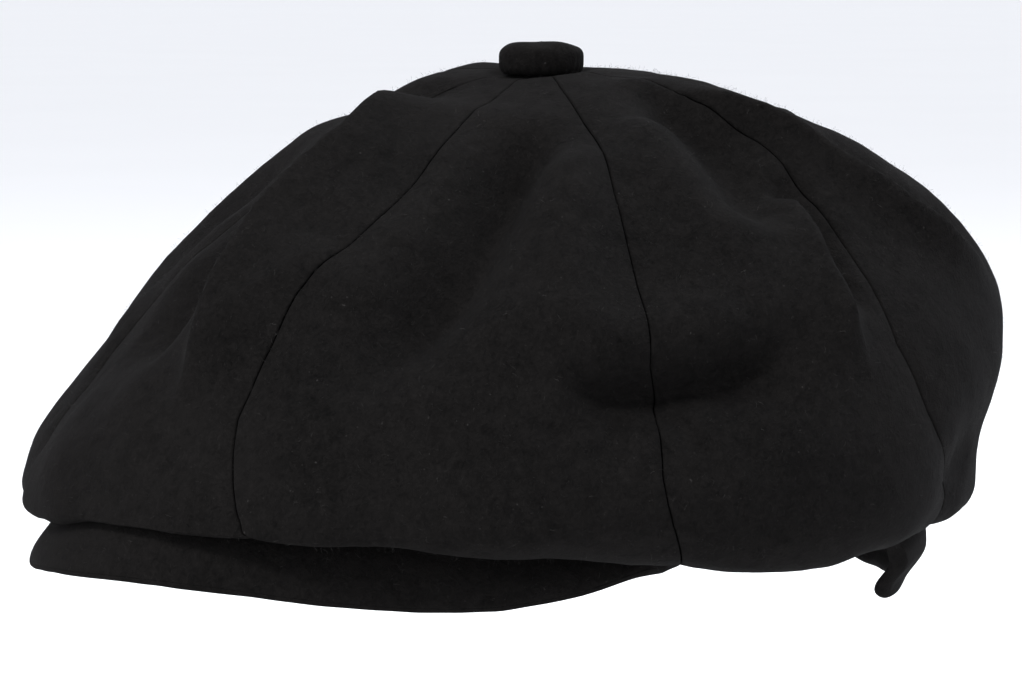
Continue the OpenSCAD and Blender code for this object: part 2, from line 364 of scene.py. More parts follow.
@dataclass(frozen=True)
class CrownForm:
    """The outer face of the full crown, smooth form first and folds on top."""

    oval: HeadOval
    band_out: float
    top: float
    front: float = 0.141
    back: float = 0.124
    half_width: float = 0.125
    hole: float = 0.003
    shoulder: float = 0.62
    folds: tuple[Fold, ...] = ()
    drift: dict[int, tuple[tuple[float, float], ...]] = field(default_factory=dict)

    def reach(self, angle: Array) -> Array:
        """Furthest reach of the crown."""
        mean = (self.front + self.back) / 2
        a = np.radians(angle)
        tuck = 0.0055 * blend_in(2, 38, one_turn(angle)) * blend_in(88, 62, one_turn(angle))
        return (
            -tuck
            + (mean + self.half_width) / 2
            + (self.front - self.back) / 2 * np.cos(a)
            + (mean - self.half_width) / 2 * np.cos(2 * a)
        )

    def smooth(self, angle: Array, t: Array) -> Array:
        """Points of the smooth form."""
        angle, t = np.broadcast_arrays(np.asarray(angle, float), np.asarray(t, float))
        c = np.cos(np.radians(angle))
        ahead = np.maximum(c, 0)
        reach = self.reach(angle)
        slip = blend_in(8, -28, one_turn(angle)) * blend_in(-88, -48, one_turn(angle))
        widest = (27 - 14 * c - 3.0 * slip) * MM
        power = 1.78 - 0.34 * c
        low = (4.6 + 7.9 * ahead**1.2 - 6.5 * slip) * MM
        turn = np.radians(90 * np.minimum(t / self.shoulder, 1))
        r_up = self.hole + (reach - self.hole) * np.sin(turn)
        share = np.maximum(1 - (r_up / reach) ** power, 0) ** (1 / power)
        z_up = widest + (self.top - widest) * share
        k = np.clip((t - self.shoulder) / (1 - self.shoulder), 0, 1)
        hem = (self.oval.radius(angle, self.band_out + 0.0003), self.oval.rim(angle) + 0.008)
        bag = blend_in(34, 96, np.abs(one_turn(angle)))
        sag = blend_in(22, 52, one_turn(angle)) * blend_in(98, 76, one_turn(angle))
        r_down = bezier((reach, reach + 0.001, reach - 0.013 + 0.007 * bag, hem[0]), k)
        near_low = widest + 0.65 * (low - widest) - 0.0022 * ahead**2
        z_down = bezier((widest, near_low, low - 0.0036 + 0.0090 * ahead - 0.0062 * bag - 0.0074 * sag, hem[1]), k)
        up = t <= self.shoulder
        return polar(np.where(up, r_up, r_down), angle, np.where(up, z_up, z_down))

    def smooth_out(self, angle: Array, t: Array) -> Array:
        """Outward unit normals of the smooth form."""
        t = np.clip(t, 0.004, 0.996)
        da = self.smooth(angle + 0.2, t) - self.smooth(angle - 0.2, t)
        dt = self.smooth(angle, t + 0.003) - self.smooth(angle, t - 0.003)
        n = np.cross(dt, da)
        return n / np.maximum(np.linalg.norm(n, axis=-1, keepdims=True), 1e-12)

    def seam_angle(self, index: int, t: Array) -> Array:
        """Angle of the seam with that index, which drifts a little on its way down."""
        knots = np.array(self.drift.get(index % 8, ((0, 0), (1, 0))), float)
        return 22.5 + 45 * index + np.interp(t, knots[:, 0], knots[:, 1])


# ---------------------------------------------------------------- finishes


class Socket:
    """A shader socket that can be used in arithmetic."""

    def __init__(self, tree: "Tree", socket: bpy.types.NodeSocket) -> None:
        """Wrap a socket of a tree."""
        self.tree, self.socket = tree, socket

    def _with(self, operation: str, other: Any) -> "Socket":
        """Join this socket and another value in one Math node."""
        return self.tree.add("ShaderNodeMath", {"operation": operation}, {0: self, 1: other})[0]

    def __add__(self, other: Any) -> "Socket":
        """Sum."""
        return self._with("ADD", other)

    def __mul__(self, other: Any) -> "Socket":
        """Product."""
        return self._with("MULTIPLY", other)

    def past(self, low: float, high: float) -> "Socket":
        """0 below low, 1 above high, and straight between them."""
        return self.tree.add("ShaderNodeMapRange", {"clamp": True}, {0: self, 1: low, 2: high, 3: 0.0, 4: 1.0})[0]

    def sine(self) -> "Socket":
        """Sine of the value."""
        return self.tree.add("ShaderNodeMath", {"operation": "SINE"}, {0: self})[0]


class Tree:
    """A material's node tree, built node by node."""

    def __init__(self, name: str) -> None:
        """Start a material with nothing but its output."""
        self.material = bpy.data.materials.new(name)
        self.material.use_nodes = True
        self.nodes = self.material.node_tree.nodes
        self.links = self.material.node_tree.links
        self.nodes.clear()

    def add(self, kind: str, settings: dict[str, Any], inputs: dict[Any, Any]) -> list[Socket]:
        """Add one node.

        Args:
            kind: The node's type.
            settings: Its properties, set first.
            inputs: Values or sockets by input name or index.

        Returns:
            The node's outputs.
        """
        node = self.nodes.new(kind)
        for key, value in settings.items():
            setattr(node, key, value)
        for key, value in inputs.items():
            if isinstance(value, Socket):
                self.links.new(value.socket, node.inputs[key])
            else:
                node.inputs[key].default_value = value
        return [Socket(self, s) for s in node.outputs]

    def place(self) -> Socket:
        """The piece's own coordinates, in metres."""
        return self.add("ShaderNodeTexCoord", {}, {})[3]

    def cloth_uv(self) -> Socket:
        """The piece's own cloth map, in metres along and across."""
        return self.add("ShaderNodeUVMap", {"uv_map": "cloth"}, {})[0]

    def noise(self, at: Socket, size: float, detail: float = 3.0, rough: float = 0.55, warp: float = 0.0) -> Socket:
        """Noise with features of about that size in metres."""
        values = {"Vector": at, "Scale": 1 / size, "Detail": detail, "Roughness": rough, "Distortion": warp}
        return self.add("ShaderNodeTexNoise", {}, values)[0]

    def mix(self, share: Any, first: Any, second: Any) -> Socket:
        """Colour between two colours."""
        return self.add("ShaderNodeMix", {"data_type": "RGBA"}, {0: share, 6: first, 7: second})[2]

    def surface(self, look: dict[str, Any], bump: Socket | None, depth: float = 0.0) -> bpy.types.Material:
        """Finish the tree with a principled surface.

        Args:
            look: Values or sockets of the principled shader.
            bump: Height pattern, or None.
            depth: Depth of the pattern in metres.

        Returns:
            The finished material.
        """
        if bump is not None:
            look = dict(look)
            look["Normal"] = self.add("ShaderNodeBump", {}, {"Strength": 1.0, "Distance": depth, "Height": bump})[0]
        shader = self.add("ShaderNodeBsdfPrincipled", {}, look)
        self.add("ShaderNodeOutputMaterial", {}, {"Surface": shader[0]})
        return self.material


def rgb(red: float, green: float, blue: float) -> tuple[float, float, float, float]:
    """An opaque colour."""
    return (red, green, blue, 1.0)


@dataclass(frozen=True)
class BrushedWool:
    """Felted wool whose fibres are brushed up into a short nap, with stray pale fibres."""

    name: str = "brushed_wool"
    deep: tuple = rgb(0.0018, 0.0017, 0.0017)
    raised: tuple = rgb(0.0086, 0.0079, 0.0077)
    lint: tuple = rgb(0.040, 0.038, 0.037)
    nap_depth: float = 0.00050
    sheen: float = 0.004

    def material(self) -> bpy.types.Material:
        """Build the finish."""
        tree = Tree(self.name)
        at = tree.place()
        fibre = tree.noise(at, 0.0009, 4.0, 0.65, 0.8)
        tuft = tree.noise(at, 0.0036, 3.0, 0.6, 0.4)
        patch = tree.noise(at, 0.034, 2.0, 0.5)
        speck = tree.noise(at, 0.0010, 1.0, 0.4).past(0.760, 0.82)
        tone = (fibre * 0.55 + tuft * 0.35 + patch * 0.25).past(0.36, 0.82)
        colour = tree.mix(tone, self.deep, self.raised)
        colour = tree.mix(speck * 0.4, colour, self.lint)
        height = fibre * 0.7 + tuft * 0.9
        look = {
            "Base Color": colour,
            "Roughness": 0.95,
            "Specular IOR Level": 0.03,
            "Sheen Weight": self.sheen,
            "Sheen Roughness": 0.45,
            "Sheen Tint": rgb(0.92, 0.94, 1.0),
        }
        return tree.surface(look, height, self.nap_depth)


@dataclass(frozen=True)
class Satin:
    """Smooth lining cloth with a fine weave and loose slight ripples."""

    name: str = "lining_satin"
    dark: tuple = rgb(0.010, 0.010, 0.0115)
    light: tuple = rgb(0.019, 0.019, 0.021)

    def material(self) -> bpy.types.Material:
        """Build the finish."""
        tree = Tree(self.name)
        at = tree.place()
        thread = tree.noise(at, 0.0006, 2.0, 0.5)
        ripple = tree.noise(at, 0.012, 2.0, 0.5, 0.6)
        colour = tree.mix((thread * 0.5 + ripple * 0.5).past(0.3, 0.7), self.dark, self.light)
        rough = ripple * 0.18 + 0.30
        look = {"Base Color": colour, "Roughness": rough, "Specular IOR Level": 0.5}
        return tree.surface(look, ripple * 0.8 + thread * 0.06, 0.0006)


@dataclass(frozen=True)
class RibbedTape:
    """Woven band with fine ribs across its length."""

    name: str = "ribbed_tape"
    groove: tuple = rgb(0.008, 0.008, 0.009)
    rib: tuple = rgb(0.022, 0.022, 0.024)
    pitch: float = 0.0011

    def material(self) -> bpy.types.Material:
        """Build the finish."""
        tree = Tree(self.name)
        uv = tree.cloth_uv()
        along = tree.add("ShaderNodeSeparateXYZ", {}, {0: uv})[0]
        ribs = (along * (2 * math.pi / self.pitch)).sine() * 0.5 + 0.5
        wear = tree.noise(tree.place(), 0.007, 3.0)
        colour = tree.mix((ribs * 0.7 + wear * 0.4).past(0.1, 1.0), self.groove, self.rib)
        look = {"Base Color": colour, "Roughness": 0.7, "Specular IOR Level": 0.35}
        return tree.surface(look, ribs + wear * 0.4, 0.00022)


@dataclass(frozen=True)
class Buckram:
    """Stiff open weave filled with size."""

    name: str = "buckram"
    thread: tuple = rgb(0.36, 0.345, 0.31)
    gap: tuple = rgb(0.19, 0.18, 0.16)
    pitch: float = 0.0014

    def material(self) -> bpy.types.Material:
        """Build the finish."""
        tree = Tree(self.name)
        parts = tree.add("ShaderNodeSeparateXYZ", {}, {0: tree.cloth_uv()})
        step = 2 * math.pi / self.pitch
        weave = ((parts[0] * step).sine() * (parts[1] * step).sine()) * 0.5 + 0.5
        stain = tree.noise(tree.place(), 0.02, 2.0)
        colour = tree.mix((weave * 0.8 + stain * 0.3).past(0.2, 0.9), self.gap, self.thread)
        look = {"Base Color": colour, "Roughness": 0.85}
        return tree.surface(look, weave, 0.0002)


@dataclass(frozen=True)
class Fleece:
    """Short curly pile."""

    name: str = "fleece"
    deep: tuple = rgb(0.007, 0.007, 0.0075)
    tip: tuple = rgb(0.022, 0.022, 0.023)

    def material(self) -> bpy.types.Material:
        """Build the finish."""
        tree = Tree(self.name)
        at = tree.place()
        curl = tree.noise(at, 0.0026, 4.0, 0.6, 1.6)
        patch = tree.noise(at, 0.02, 2.0)
        colour = tree.mix((curl * 0.8 + patch * 0.3).past(0.3, 0.75), self.deep, self.tip)
        look = {
            "Base Color": colour,
            "Roughness": 0.97,
            "Sheen Weight": 0.2,
            "Sheen Roughness": 0.5,
        }
        return tree.surface(look, curl, 0.0008)


@dataclass(frozen=True)
class MouldedBoard:
    """Flexible plastic sheet with a fine matt grain."""

    name: str = "visor_board_plastic"
    base: tuple = rgb(0.035, 0.035, 0.036)
    worn: tuple = rgb(0.07, 0.07, 0.072)

    def material(self) -> bpy.types.Material:
        """Build the finish."""
        tree = Tree(self.name)
        at = tree.place()
        grain = tree.noise(at, 0.0008, 2.0)
        haze = tree.noise(at, 0.018, 3.0)
        colour = tree.mix(haze.past(0.4, 0.8), self.base, self.worn)
        look = {"Base Color": colour, "Roughness": haze * 0.2 + 0.42}
        return tree.surface(look, grain, 0.00005)


@dataclass(frozen=True)
class PressedMetal:
    """Thin pressed sheet metal with fine drawing marks."""

    name: str = "pressed_metal"
    clean: tuple = rgb(0.72, 0.72, 0.71)
    dull: tuple = rgb(0.48, 0.47, 0.45)

    def material(self) -> bpy.types.Material:
        """Build the finish."""
        tree = Tree(self.name)
        at = tree.place()
        marks = tree.noise(at, 0.0012, 4.0, 0.7)
        haze = tree.noise(at, 0.006, 3.0)
        colour = tree.mix(haze.past(0.35, 0.7), self.clean, self.dull)
        look = {"Base Color": colour, "Metallic": 1.0, "Roughness": marks * 0.25 + 0.28}
        return tree.surface(look, marks, 0.00004)


@dataclass(frozen=True)
class WovenLabel:
    """Fine twill of a blank woven label."""

    name: str = "woven_label"
    ground: tuple = rgb(0.026, 0.026, 0.029)
    twill: tuple = rgb(0.06, 0.06, 0.065)
    pitch: float = 0.0009

    def material(self) -> bpy.types.Material:
        """Build the finish."""
        tree = Tree(self.name)
        parts = tree.add("ShaderNodeSeparateXYZ", {}, {0: tree.cloth_uv()})
        line = ((parts[0] + parts[1]) * (2 * math.pi / self.pitch)).sine() * 0.5 + 0.5
        colour = tree.mix(line, self.ground, self.twill)
        look = {"Base Color": colour, "Roughness": 0.55, "Specular IOR Level": 0.4}
        return tree.surface(look, line, 0.0001)


@dataclass(frozen=True)
class SewingThread:
    """Twisted thread."""

    name: str = "sewing_thread"
    dark: tuple = rgb(0.012, 0.012, 0.013)
    light: tuple = rgb(0.045, 0.045, 0.047)

    def material(self) -> bpy.types.Material:
        """Build the finish."""
        tree = Tree(self.name)
        at = tree.place()
        twist = tree.noise(at, 0.0005, 1.0)
        colour = tree.mix(twist.past(0.35, 0.65), self.dark, self.light)
        look = {"Base Color": colour, "Roughness": 0.5, "Specular IOR Level": 0.5}
        return tree.surface(look, twist, 0.00005)


@dataclass(frozen=True)
class WoolFibre:
    """Single wool fibres of the nap, a few of them pale."""

    name: str = "wool_fibre"
    dark: tuple = rgb(0.012, 0.0115, 0.0112)
    pale: tuple = rgb(0.075, 0.072, 0.070)

    def material(self) -> bpy.types.Material:
        """Build the finish."""
        tree = Tree(self.name)
        speck = tree.noise(tree.place(), 0.0030, 1.0, 0.4)
        colour = tree.mix(speck.past(0.55, 0.75), self.dark, self.pale)
        return tree.surface({"Base Color": colour, "Roughness": 0.9, "Specular IOR Level": 0.2}, None)


class Finish(Enum):
    """The cap's finishes, each with the name of the slot that it belongs to."""

    WOOL = ("wool_cloth", BrushedWool())
    LINING = ("lining", Satin())
    TAPE = ("sweatband", RibbedTape())
    BUCKRAM = ("interlining", Buckram())
    BOARD = ("visor_board", MouldedBoard())
    FLEECE = ("fleece", Fleece())
    METAL = ("button_metal", PressedMetal())
    LABEL = ("label", WovenLabel())
    THREAD = ("sweatband", SewingThread())
    NAP = ("wool_cloth", WoolFibre())


class Wardrobe:
    """Builds each finish once and puts it on pieces."""

    def __init__(self) -> None:
        """Start with nothing built."""
        self.made: dict[Finish, bpy.types.Material] = {}

    def material(self, finish: Finish) -> bpy.types.Material:
        """The material of a finish."""
        if finish not in self.made:
            self.made[finish] = finish.value[1].material()
        return self.made[finish]

    def dress(self, obj: bpy.types.Object, finish: Finish) -> bpy.types.Object:
        """Give a new piece its finish.

        Args:
            obj: The piece.
            finish: What it is made of.

        Returns:
            The same piece.
        """
        obj.data.materials.clear()
        obj.data.materials.append(self.material(finish))
        return obj

    def dress_cad(self, node: str, finish: Finish) -> None:
        """Give a CAD node that stays its finish."""
        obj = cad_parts[node]
        if not obj.material_slots:
            obj.data.materials.append(self.material(finish))
        for place in obj.material_slots:
            place.material = self.material(finish)


# ---------------------------------------------------------------- crown


FOLDS: tuple[Fold, ...] = (
    # Broad set of the crown: it falls away to the front right, and is full behind the button.
    Fold(((-95, 0.44), (-70, 0.43), (-37, 0.43), (-15, 0.43), (8, 0.45)), -0.0046, 0.030, 0.024, 0, 0.35, 0.35),
    Fold(((-120, 0.10), (-85, 0.085), (-50, 0.085), (-20, 0.10)), 0.0040, 0.013, 0.013, 0, 0.3, 0.3),
    Fold(((128, 0.18), (150, 0.18), (170, 0.19), (192, 0.20)), -0.0040, 0.016, 0.015, 0, 0.25, 0.35),
    Fold(((120, 0.51), (136, 0.50), (150, 0.49), (160, 0.46)), 0.0018, 0.018, 0.016, 0, 0.3, 0.3),
    Fold(((100, 0.72), (120, 0.71), (140, 0.71), (170, 0.73)), -0.0070, 0.016, 0.018, 0, 0.3, 0.3),
    # Front gore: two ridges that run down from the button, and the hollows beside them.
    Fold(((-22, 0.08), (-4, 0.13), (2, 0.17), (3, 0.22), (4, 0.26), (6, 0.30), (7, 0.34), (8, 0.38), (8, 0.42),
          (7, 0.48)), 0.0100, 0.015, 0.0056, 0.9, 0.15, 0.35),
    Fold(((-26, 0.13), (-14, 0.17), (-10, 0.22), (-9, 0.26), (-7, 0.31), (-5, 0.36), (-3, 0.42)),
         -0.0078, 0.006, 0.012, 0.3),
    Fold(((20, 0.27), (17, 0.295), (15, 0.32), (12, 0.35), (10, 0.38), (8, 0.42)),
         0.0034, 0.010, 0.0065, 0.6, 0.25, 0.3),
    # Front left gore: a full swell against each seam and a long hollow between them.
    Fold(((36, 0.12), (32, 0.20), (29, 0.30), (26, 0.38)), 0.0034, 0.010, 0.009),
    Fold(((53, 0.12), (48, 0.17), (44, 0.22), (41, 0.28), (38, 0.33), (33, 0.40), (27, 0.45)),
         -0.0135, 0.009, 0.014, 0.2, 0.25, 0.4),
    Fold(((61, 0.16), (58, 0.26), (55, 0.36), (49, 0.44)), 0.0054, 0.012, 0.011),
    # The deep pinch across the seam at the side, with the cloth bagging over it.
    Fold(((54, 0.462), (58, 0.452), (62, 0.450), (66, 0.458), (72, 0.460), (80, 0.456), (90, 0.446)),
         -0.0116, 0.0044, 0.011, 0.45, 0.22, 0.40),
    Fold(((55, 0.412), (66, 0.412), (80, 0.408)), 0.0036, 0.009, 0.009),
    Fold(((64, 0.475), (61, 0.505), (59, 0.545)), -0.0016, 0.003, 0.003),
    Fold(((67, 0.480), (69, 0.51), (71, 0.56)), -0.0017, 0.003, 0.003),
    Fold(((60, 0.470), (56, 0.492), (52, 0.51)), -0.0013, 0.003, 0.004),
    Fold(((72, 0.472), (77, 0.492), (83, 0.50)), -0.0014, 0.003, 0.004),
    # Left gore: hollow below the button, a soft ridge, and a sharper one against the next seam.
    Fold(((94, 0.09), (98, 0.14), (97, 0.19), (94, 0.24), (90, 0.30), (86, 0.35)), -0.0080, 0.009, 0.010),
    Fold(((78, 0.14), (80, 0.22), (82, 0.31), (80, 0.38)), 0.0030, 0.008, 0.010),
    Fold(((99, 0.28), (97, 0.31), (94, 0.35), (92, 0.40), (92, 0.46), (94, 0.52)),
         0.0060, 0.0045, 0.011, 0.85, 0.2, 0.3),
    Fold(((103, 0.25), (101, 0.30), (99, 0.35), (97, 0.40), (98, 0.46)), -0.0058, 0.005, 0.0055, 0.2),
    # Back left gore: the long crest that runs from the button to the shoulder.
    Fold(((92, 0.06), (103, 0.11), (108, 0.15), (111, 0.21), (112, 0.25), (114, 0.31), (117, 0.37), (122, 0.43),
          (133, 0.49)), 0.0076, 0.011, 0.0070, 0.9, 0.30, 0.25),
    Fold(((118, 0.24), (122, 0.31), (128, 0.38), (138, 0.44)), -0.0048, 0.008, 0.008),
    # Back gores.
    Fold(((150, 0.12), (156, 0.22), (163, 0.33), (166, 0.44)), -0.0048, 0.012, 0.014),
    Fold(((178, 0.24), (181, 0.32), (184, 0.41), (181, 0.50)), 0.0040, 0.013, 0.009, 0.5),
    Fold(((192, 0.22), (197, 0.33), (195, 0.45), (190, 0.55)), -0.0042, 0.010, 0.013),
    Fold(((190, 0.55), (200, 0.58), (212, 0.57)), -0.0036, 0.006, 0.010, 0.3),
    Fold(((212, 0.16), (220, 0.26), (226, 0.36), (228, 0.47)), 0.0046, 0.012, 0.016, 0.3),
    Fold(((239, 0.20), (240, 0.31), (236, 0.42), (238, 0.52)), -0.0044, 0.009, 0.012),
    # Right gores.
    Fold(((256, 0.10), (262, 0.20), (268, 0.31), (272, 0.43)), 0.0042, 0.014, 0.010, 0.5),
    Fold(((278, 0.18), (283, 0.29), (281, 0.40)), -0.0046, 0.010, 0.010),
    Fold(((286, 0.50), (293, 0.475), (301, 0.48), (309, 0.50)), -0.0062, 0.006, 0.011, 0.35),
    Fold(((296, 0.14), (303, 0.25), (309, 0.36), (310, 0.46)), 0.0040, 0.012, 0.014, 0.4),
    Fold(((318, 0.17), (322, 0.28), (321, 0.39)), -0.0042, 0.010, 0.013),
)

SEAM_DRIFT: dict[int, tuple[tuple[float, float], ...]] = {
    0: ((0.0, 7), (0.05, 5.5), (0.10, 2), (0.20, 1), (0.28, -2.5), (0.33, -4.3), (0.45, -5.5), (0.52, -3.5),
        (0.59, -1.5), (0.7, 0), (1.0, 0)),
    1: ((0.0, -4), (0.07, -3.5), (0.17, -0.5), (0.26, -1.5), (0.44, -1.5), (0.458, -0.3), (0.475, -1.0),
        (0.57, -1.5), (0.68, -0.5), (0.87, 2.5), (1.0, 0)),
    2: ((0.0, -18), (0.05, -10), (0.10, -6), (0.16, -6), (0.23, -6.5), (0.32, -8.5), (0.40, -10.4), (0.49, -11.5),
        (0.58, -9), (0.67, -3), (0.79, 4), (1.0, 0)),
    3: ((0.0, 4), (0.18, 2), (0.42, -2), (0.6, 1), (1.0, 0)),
    4: ((0.0, -3), (0.2, -1), (0.35, 2), (0.55, -2), (1.0, 0)),
    5: ((0.0, 2), (0.3, 3), (0.5, -1), (0.7, 1), (1.0, 0)),
    6: ((0.0, -2), (0.25, 1.5), (0.45, 3), (0.56, -1), (1.0, 0)),
    7: ((0.0, 3), (0.2, -1), (0.4, -2), (0.6, 1), (1.0, 0)),
}

GORES: tuple[str, ...] = (
    "front", "front_left", "left", "back_left", "back", "back_right", "right", "front_right",
)


@dataclass(frozen=True)
class Flex:
    """Two bodies, still and moving, and the two ends, start and end, of the joint between them."""

    still: str
    moving: str
    start: tuple[float, float, float]
    end: tuple[float, float, float]

    def apply(self, obj: bpy.types.Object) -> bpy.types.Object:
        """Bake the piece's placement into its mesh."""
        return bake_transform(obj)


# Gores and seams at the front of the cap; FRONT_GIVES bakes them and they are not attached to the cap.
FRONT_GORES = (0, 1, 2, 6, 7)
FRONT_SEAMS = (0, 1, 5, 6, 7)
# The joint between the cap and the visor.
FRONT_GIVES = Flex("cap", "visor", (0, 0, 0), (0, -0.0165, -0.0286))
# The joint between the cap and the folded neck flap.
FLAP_LETS_OUT = Flex("cap", "neck_flap", (0, 0.1, 0.0022), (0, 0.1, -0.0190))


@dataclass(frozen=True, eq=False)
class Crown:
    """The eight gores of the crown, sewn side by side."""

    form: CrownForm
    cloth: float = 0.0020
    gap: float = 0.00004
    across: int = 36
    down_to_shoulder: int = 118
    down_to_hem: int = 46
    swell: float = 0.0019
    dimple: float = 0.0015
    seam_dip: float = 0.0006
    seam_dip_width: float = 0.0042
    edge_round: float = 0.0006
    gathers: int = 150
    gather_depth: float = 0.00035
    broad_depth: float = 0.0011
    middling_depth: float = 0.00032
    small_depth: float = 0.00007
    nap_density: float = 150000
    allowance: float = 0.0065
    allowance_cloth: float = 0.0009
    allowance_clear: float = 0.00006
    allowance_share: float = 0.88
    broad: Unevenness = Unevenness(11, 0.060)
    middling: Unevenness = Unevenness(12, 0.019)
    small: Unevenness = Unevenness(13, 0.0065)

    def rows(self) -> Array:
        """Places down the gore, close together where it turns under."""
        upper = np.linspace(0, self.form.shoulder, self.down_to_shoulder)
        lower = np.linspace(self.form.shoulder, 1, self.down_to_hem + 1)[1:]
        return np.concatenate([upper, lower])

    def columns(self) -> Array:
        """Places across the gore from -1 to 1, close together at the seams."""
        return crowded_ends(2 * self.across)

    @lru_cache(maxsize=None)
    def outer(self, gore: int) -> tuple[Array, Array, Array]:
        """Outer face of a gore.

        Args:
            gore: Its index, 0 at the front.

        Returns:
            Its points before the edges are rounded in, the depth of that rounding, and
            the cloth map.
        """
        t, s = self.rows()[None, :], self.columns()[:, None]
        left, right = self.form.seam_angle(gore - 1, t), self.form.seam_angle(gore, t)
        base_r = np.linalg.norm(self.form.smooth((left + right) / 2, t)[..., :2], axis=-1)
        inset = np.degrees(self.gap / np.maximum(base_r, self.form.hole))
        angle = (left + right) / 2 + s * ((right - left) / 2 - inset)
        t = np.broadcast_to(t, angle.shape)
        base = self.form.smooth(angle, t)
        out = self.form.smooth_out(angle, t)
        from_edge = (1 - np.abs(s)) * np.radians((right - left) / 2) * base_r
        open_part = blend_in(0.03, 0.22, t) * blend_in(1.0, 0.80, t)
        lift = self.swell * (1 - s**2) * open_part
        folded = np.zeros_like(lift)
        for fold in self.form.folds:
            folded = folded + fold.lift(base, out, self.form.smooth)
        ahead = np.maximum(np.cos(np.radians(angle)), 0)
        lift = lift + folded * blend_in(0, 1, (0.92 - 0.18 * ahead - t) / 0.14)
        lift = lift - self.dimple * blend_in(0.0165, 0.0090, base_r)
        lift = lift + self.broad_depth * self.broad.at(base) * open_part
        lift = lift + self.middling_depth * self.middling.at(base) * open_part
        lift = lift + self.small_depth * self.small.at(base)
        lift = lift - self.seam_dip * np.exp(-from_edge / self.seam_dip_width) * blend_in(0.02, 0.2, t)
        pleats = np.sin(np.radians(angle) * self.gathers + 2.4 * self.broad.at(base * 3))
        lift = lift + self.gather_depth * pleats * blend_in(0.88, 0.97, t) * blend_in(0.0012, 0.004, from_edge)
        depth = self.edge_round * (1 - np.sqrt(1 - (1 - np.minimum(from_edge / self.edge_round, 1)) ** 2))
        points = base + out * lift[..., None]
        uv = np.stack([s * np.radians((right - left) / 2) * base_r, t * 0.24], -1)
        return points, depth, uv

    def cut(self, gore: int) -> tuple[float, float, float]:
        """Width, length and area of the flat gore, from the smooth form."""
        t = self.rows()
        middle = self.form.smooth(45.0 * gore, t)
        length = np.linalg.norm(np.diff(middle, axis=0), axis=1)
        radius = np.linalg.norm(middle[:, :2], axis=1)
        widths = radius * np.radians(45)
        area = float((length * (widths[1:] + widths[:-1]) / 2).sum())
        return float(widths.max()), float(length.sum()), area

    def gore(self, gore: int, wardrobe: Wardrobe, nap: "Nap") -> list[bpy.types.Object]:
        """Make one gore and its nap.

        Args:
            gore: Its index, 0 at the front.
            wardrobe: Source of the finishes.
            nap: Grows the nap.

        Returns:
            The finished gore and its nap.
        """
        points, depth, uv = self.outer(gore)
        out = grid_normals(points)
        if (out * points).sum() < 0:
            out = -out
        name = f"crown_panel_{GORES[gore]}"
        obj = MeshKit.shell(f"{name}_cloth", points - out * depth[..., None], points - out * self.cloth, uv)
        wardrobe.dress(obj, Finish.WOOL)
        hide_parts(name)
        fibres = nap.grow(f"{name}_nap", (points - out * depth[..., None])[:, 2:-12:2], self.nap_density, gore)
        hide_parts(name)
        width, length, area = self.cut(gore)
        for piece in (obj, fibres):
            if gore in FRONT_GORES:
                FRONT_GIVES.apply(piece)
            else:
                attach(piece, "cap")
        return [obj, fibres]

    def seam_allowance(self, seam: int, wardrobe: Wardrobe) -> bpy.types.Object:
        """Make the two turned-in edges under one seam, pressed open and stitched down as one strip.

        Args:
            seam: Its index; it joins the gore with that index to the next one.
            wardrobe: Source of the finishes.

        Returns:
            The finished piece.
        """
        sides = []
        for gore, step in ((seam, -1), ((seam + 1) % 8, 1)):
            points = self.outer(gore)[0]
            out = grid_normals(points)
            out = -out if (out * points).sum() < 0 else out
            run = points[::step]
            half = len(run) // 2
            away = np.linalg.norm(run - run[:1], axis=-1)
            widths = self.allowance * np.array([0, 0.12, 0.3, 0.5, 0.7, 0.88, 1.0])
            rows = []
            for j in range(run.shape[1]):
                at = np.minimum(widths, away[half, j] * 0.8)
                rows.append([[np.interp(at, away[:half, j], grid[:half, j, k]) for k in range(3)]
                             for grid in (run, out[::step])])
            sides.append(np.array(rows).transpose(1, 3, 0, 2))
        seam_line = (sides[0][:, :1] + sides[1][:, :1]) / 2
        both = np.concatenate([sides[0][:, :0:-1], seam_line, sides[1][:, 1:]], axis=1)
        points, out = both
        out = out / np.linalg.norm(out, axis=-1, keepdims=True)
        top = points - out * (self.cloth + self.allowance_clear)
        low = top - out * self.allowance_cloth
        obj = MeshKit.shell(f"seam_allowance_{GORES[seam]}", top[:, 2:-6], low[:, 2:-6])
        wardrobe.dress(obj, Finish.WOOL)
        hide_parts(f"crown_panel_{GORES[seam]}")
        flat = (2 * self.allowance, self.cut(seam)[1])
        area = flat[0] * flat[1] * self.allowance_share
        if seam in FRONT_SEAMS:
            return FRONT_GIVES.apply(obj)
        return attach(obj, "cap")

    def make(self, wardrobe: Wardrobe, nap: "Nap") -> list[bpy.types.Object]:
        """Make all eight gores and what is sewn under their seams."""
        gores = [piece for i in range(8) for piece in self.gore(i, wardrobe, nap)]
        return gores + [self.seam_allowance(i, wardrobe) for i in range(8)]


# ---------------------------------------------------------------- lining and label


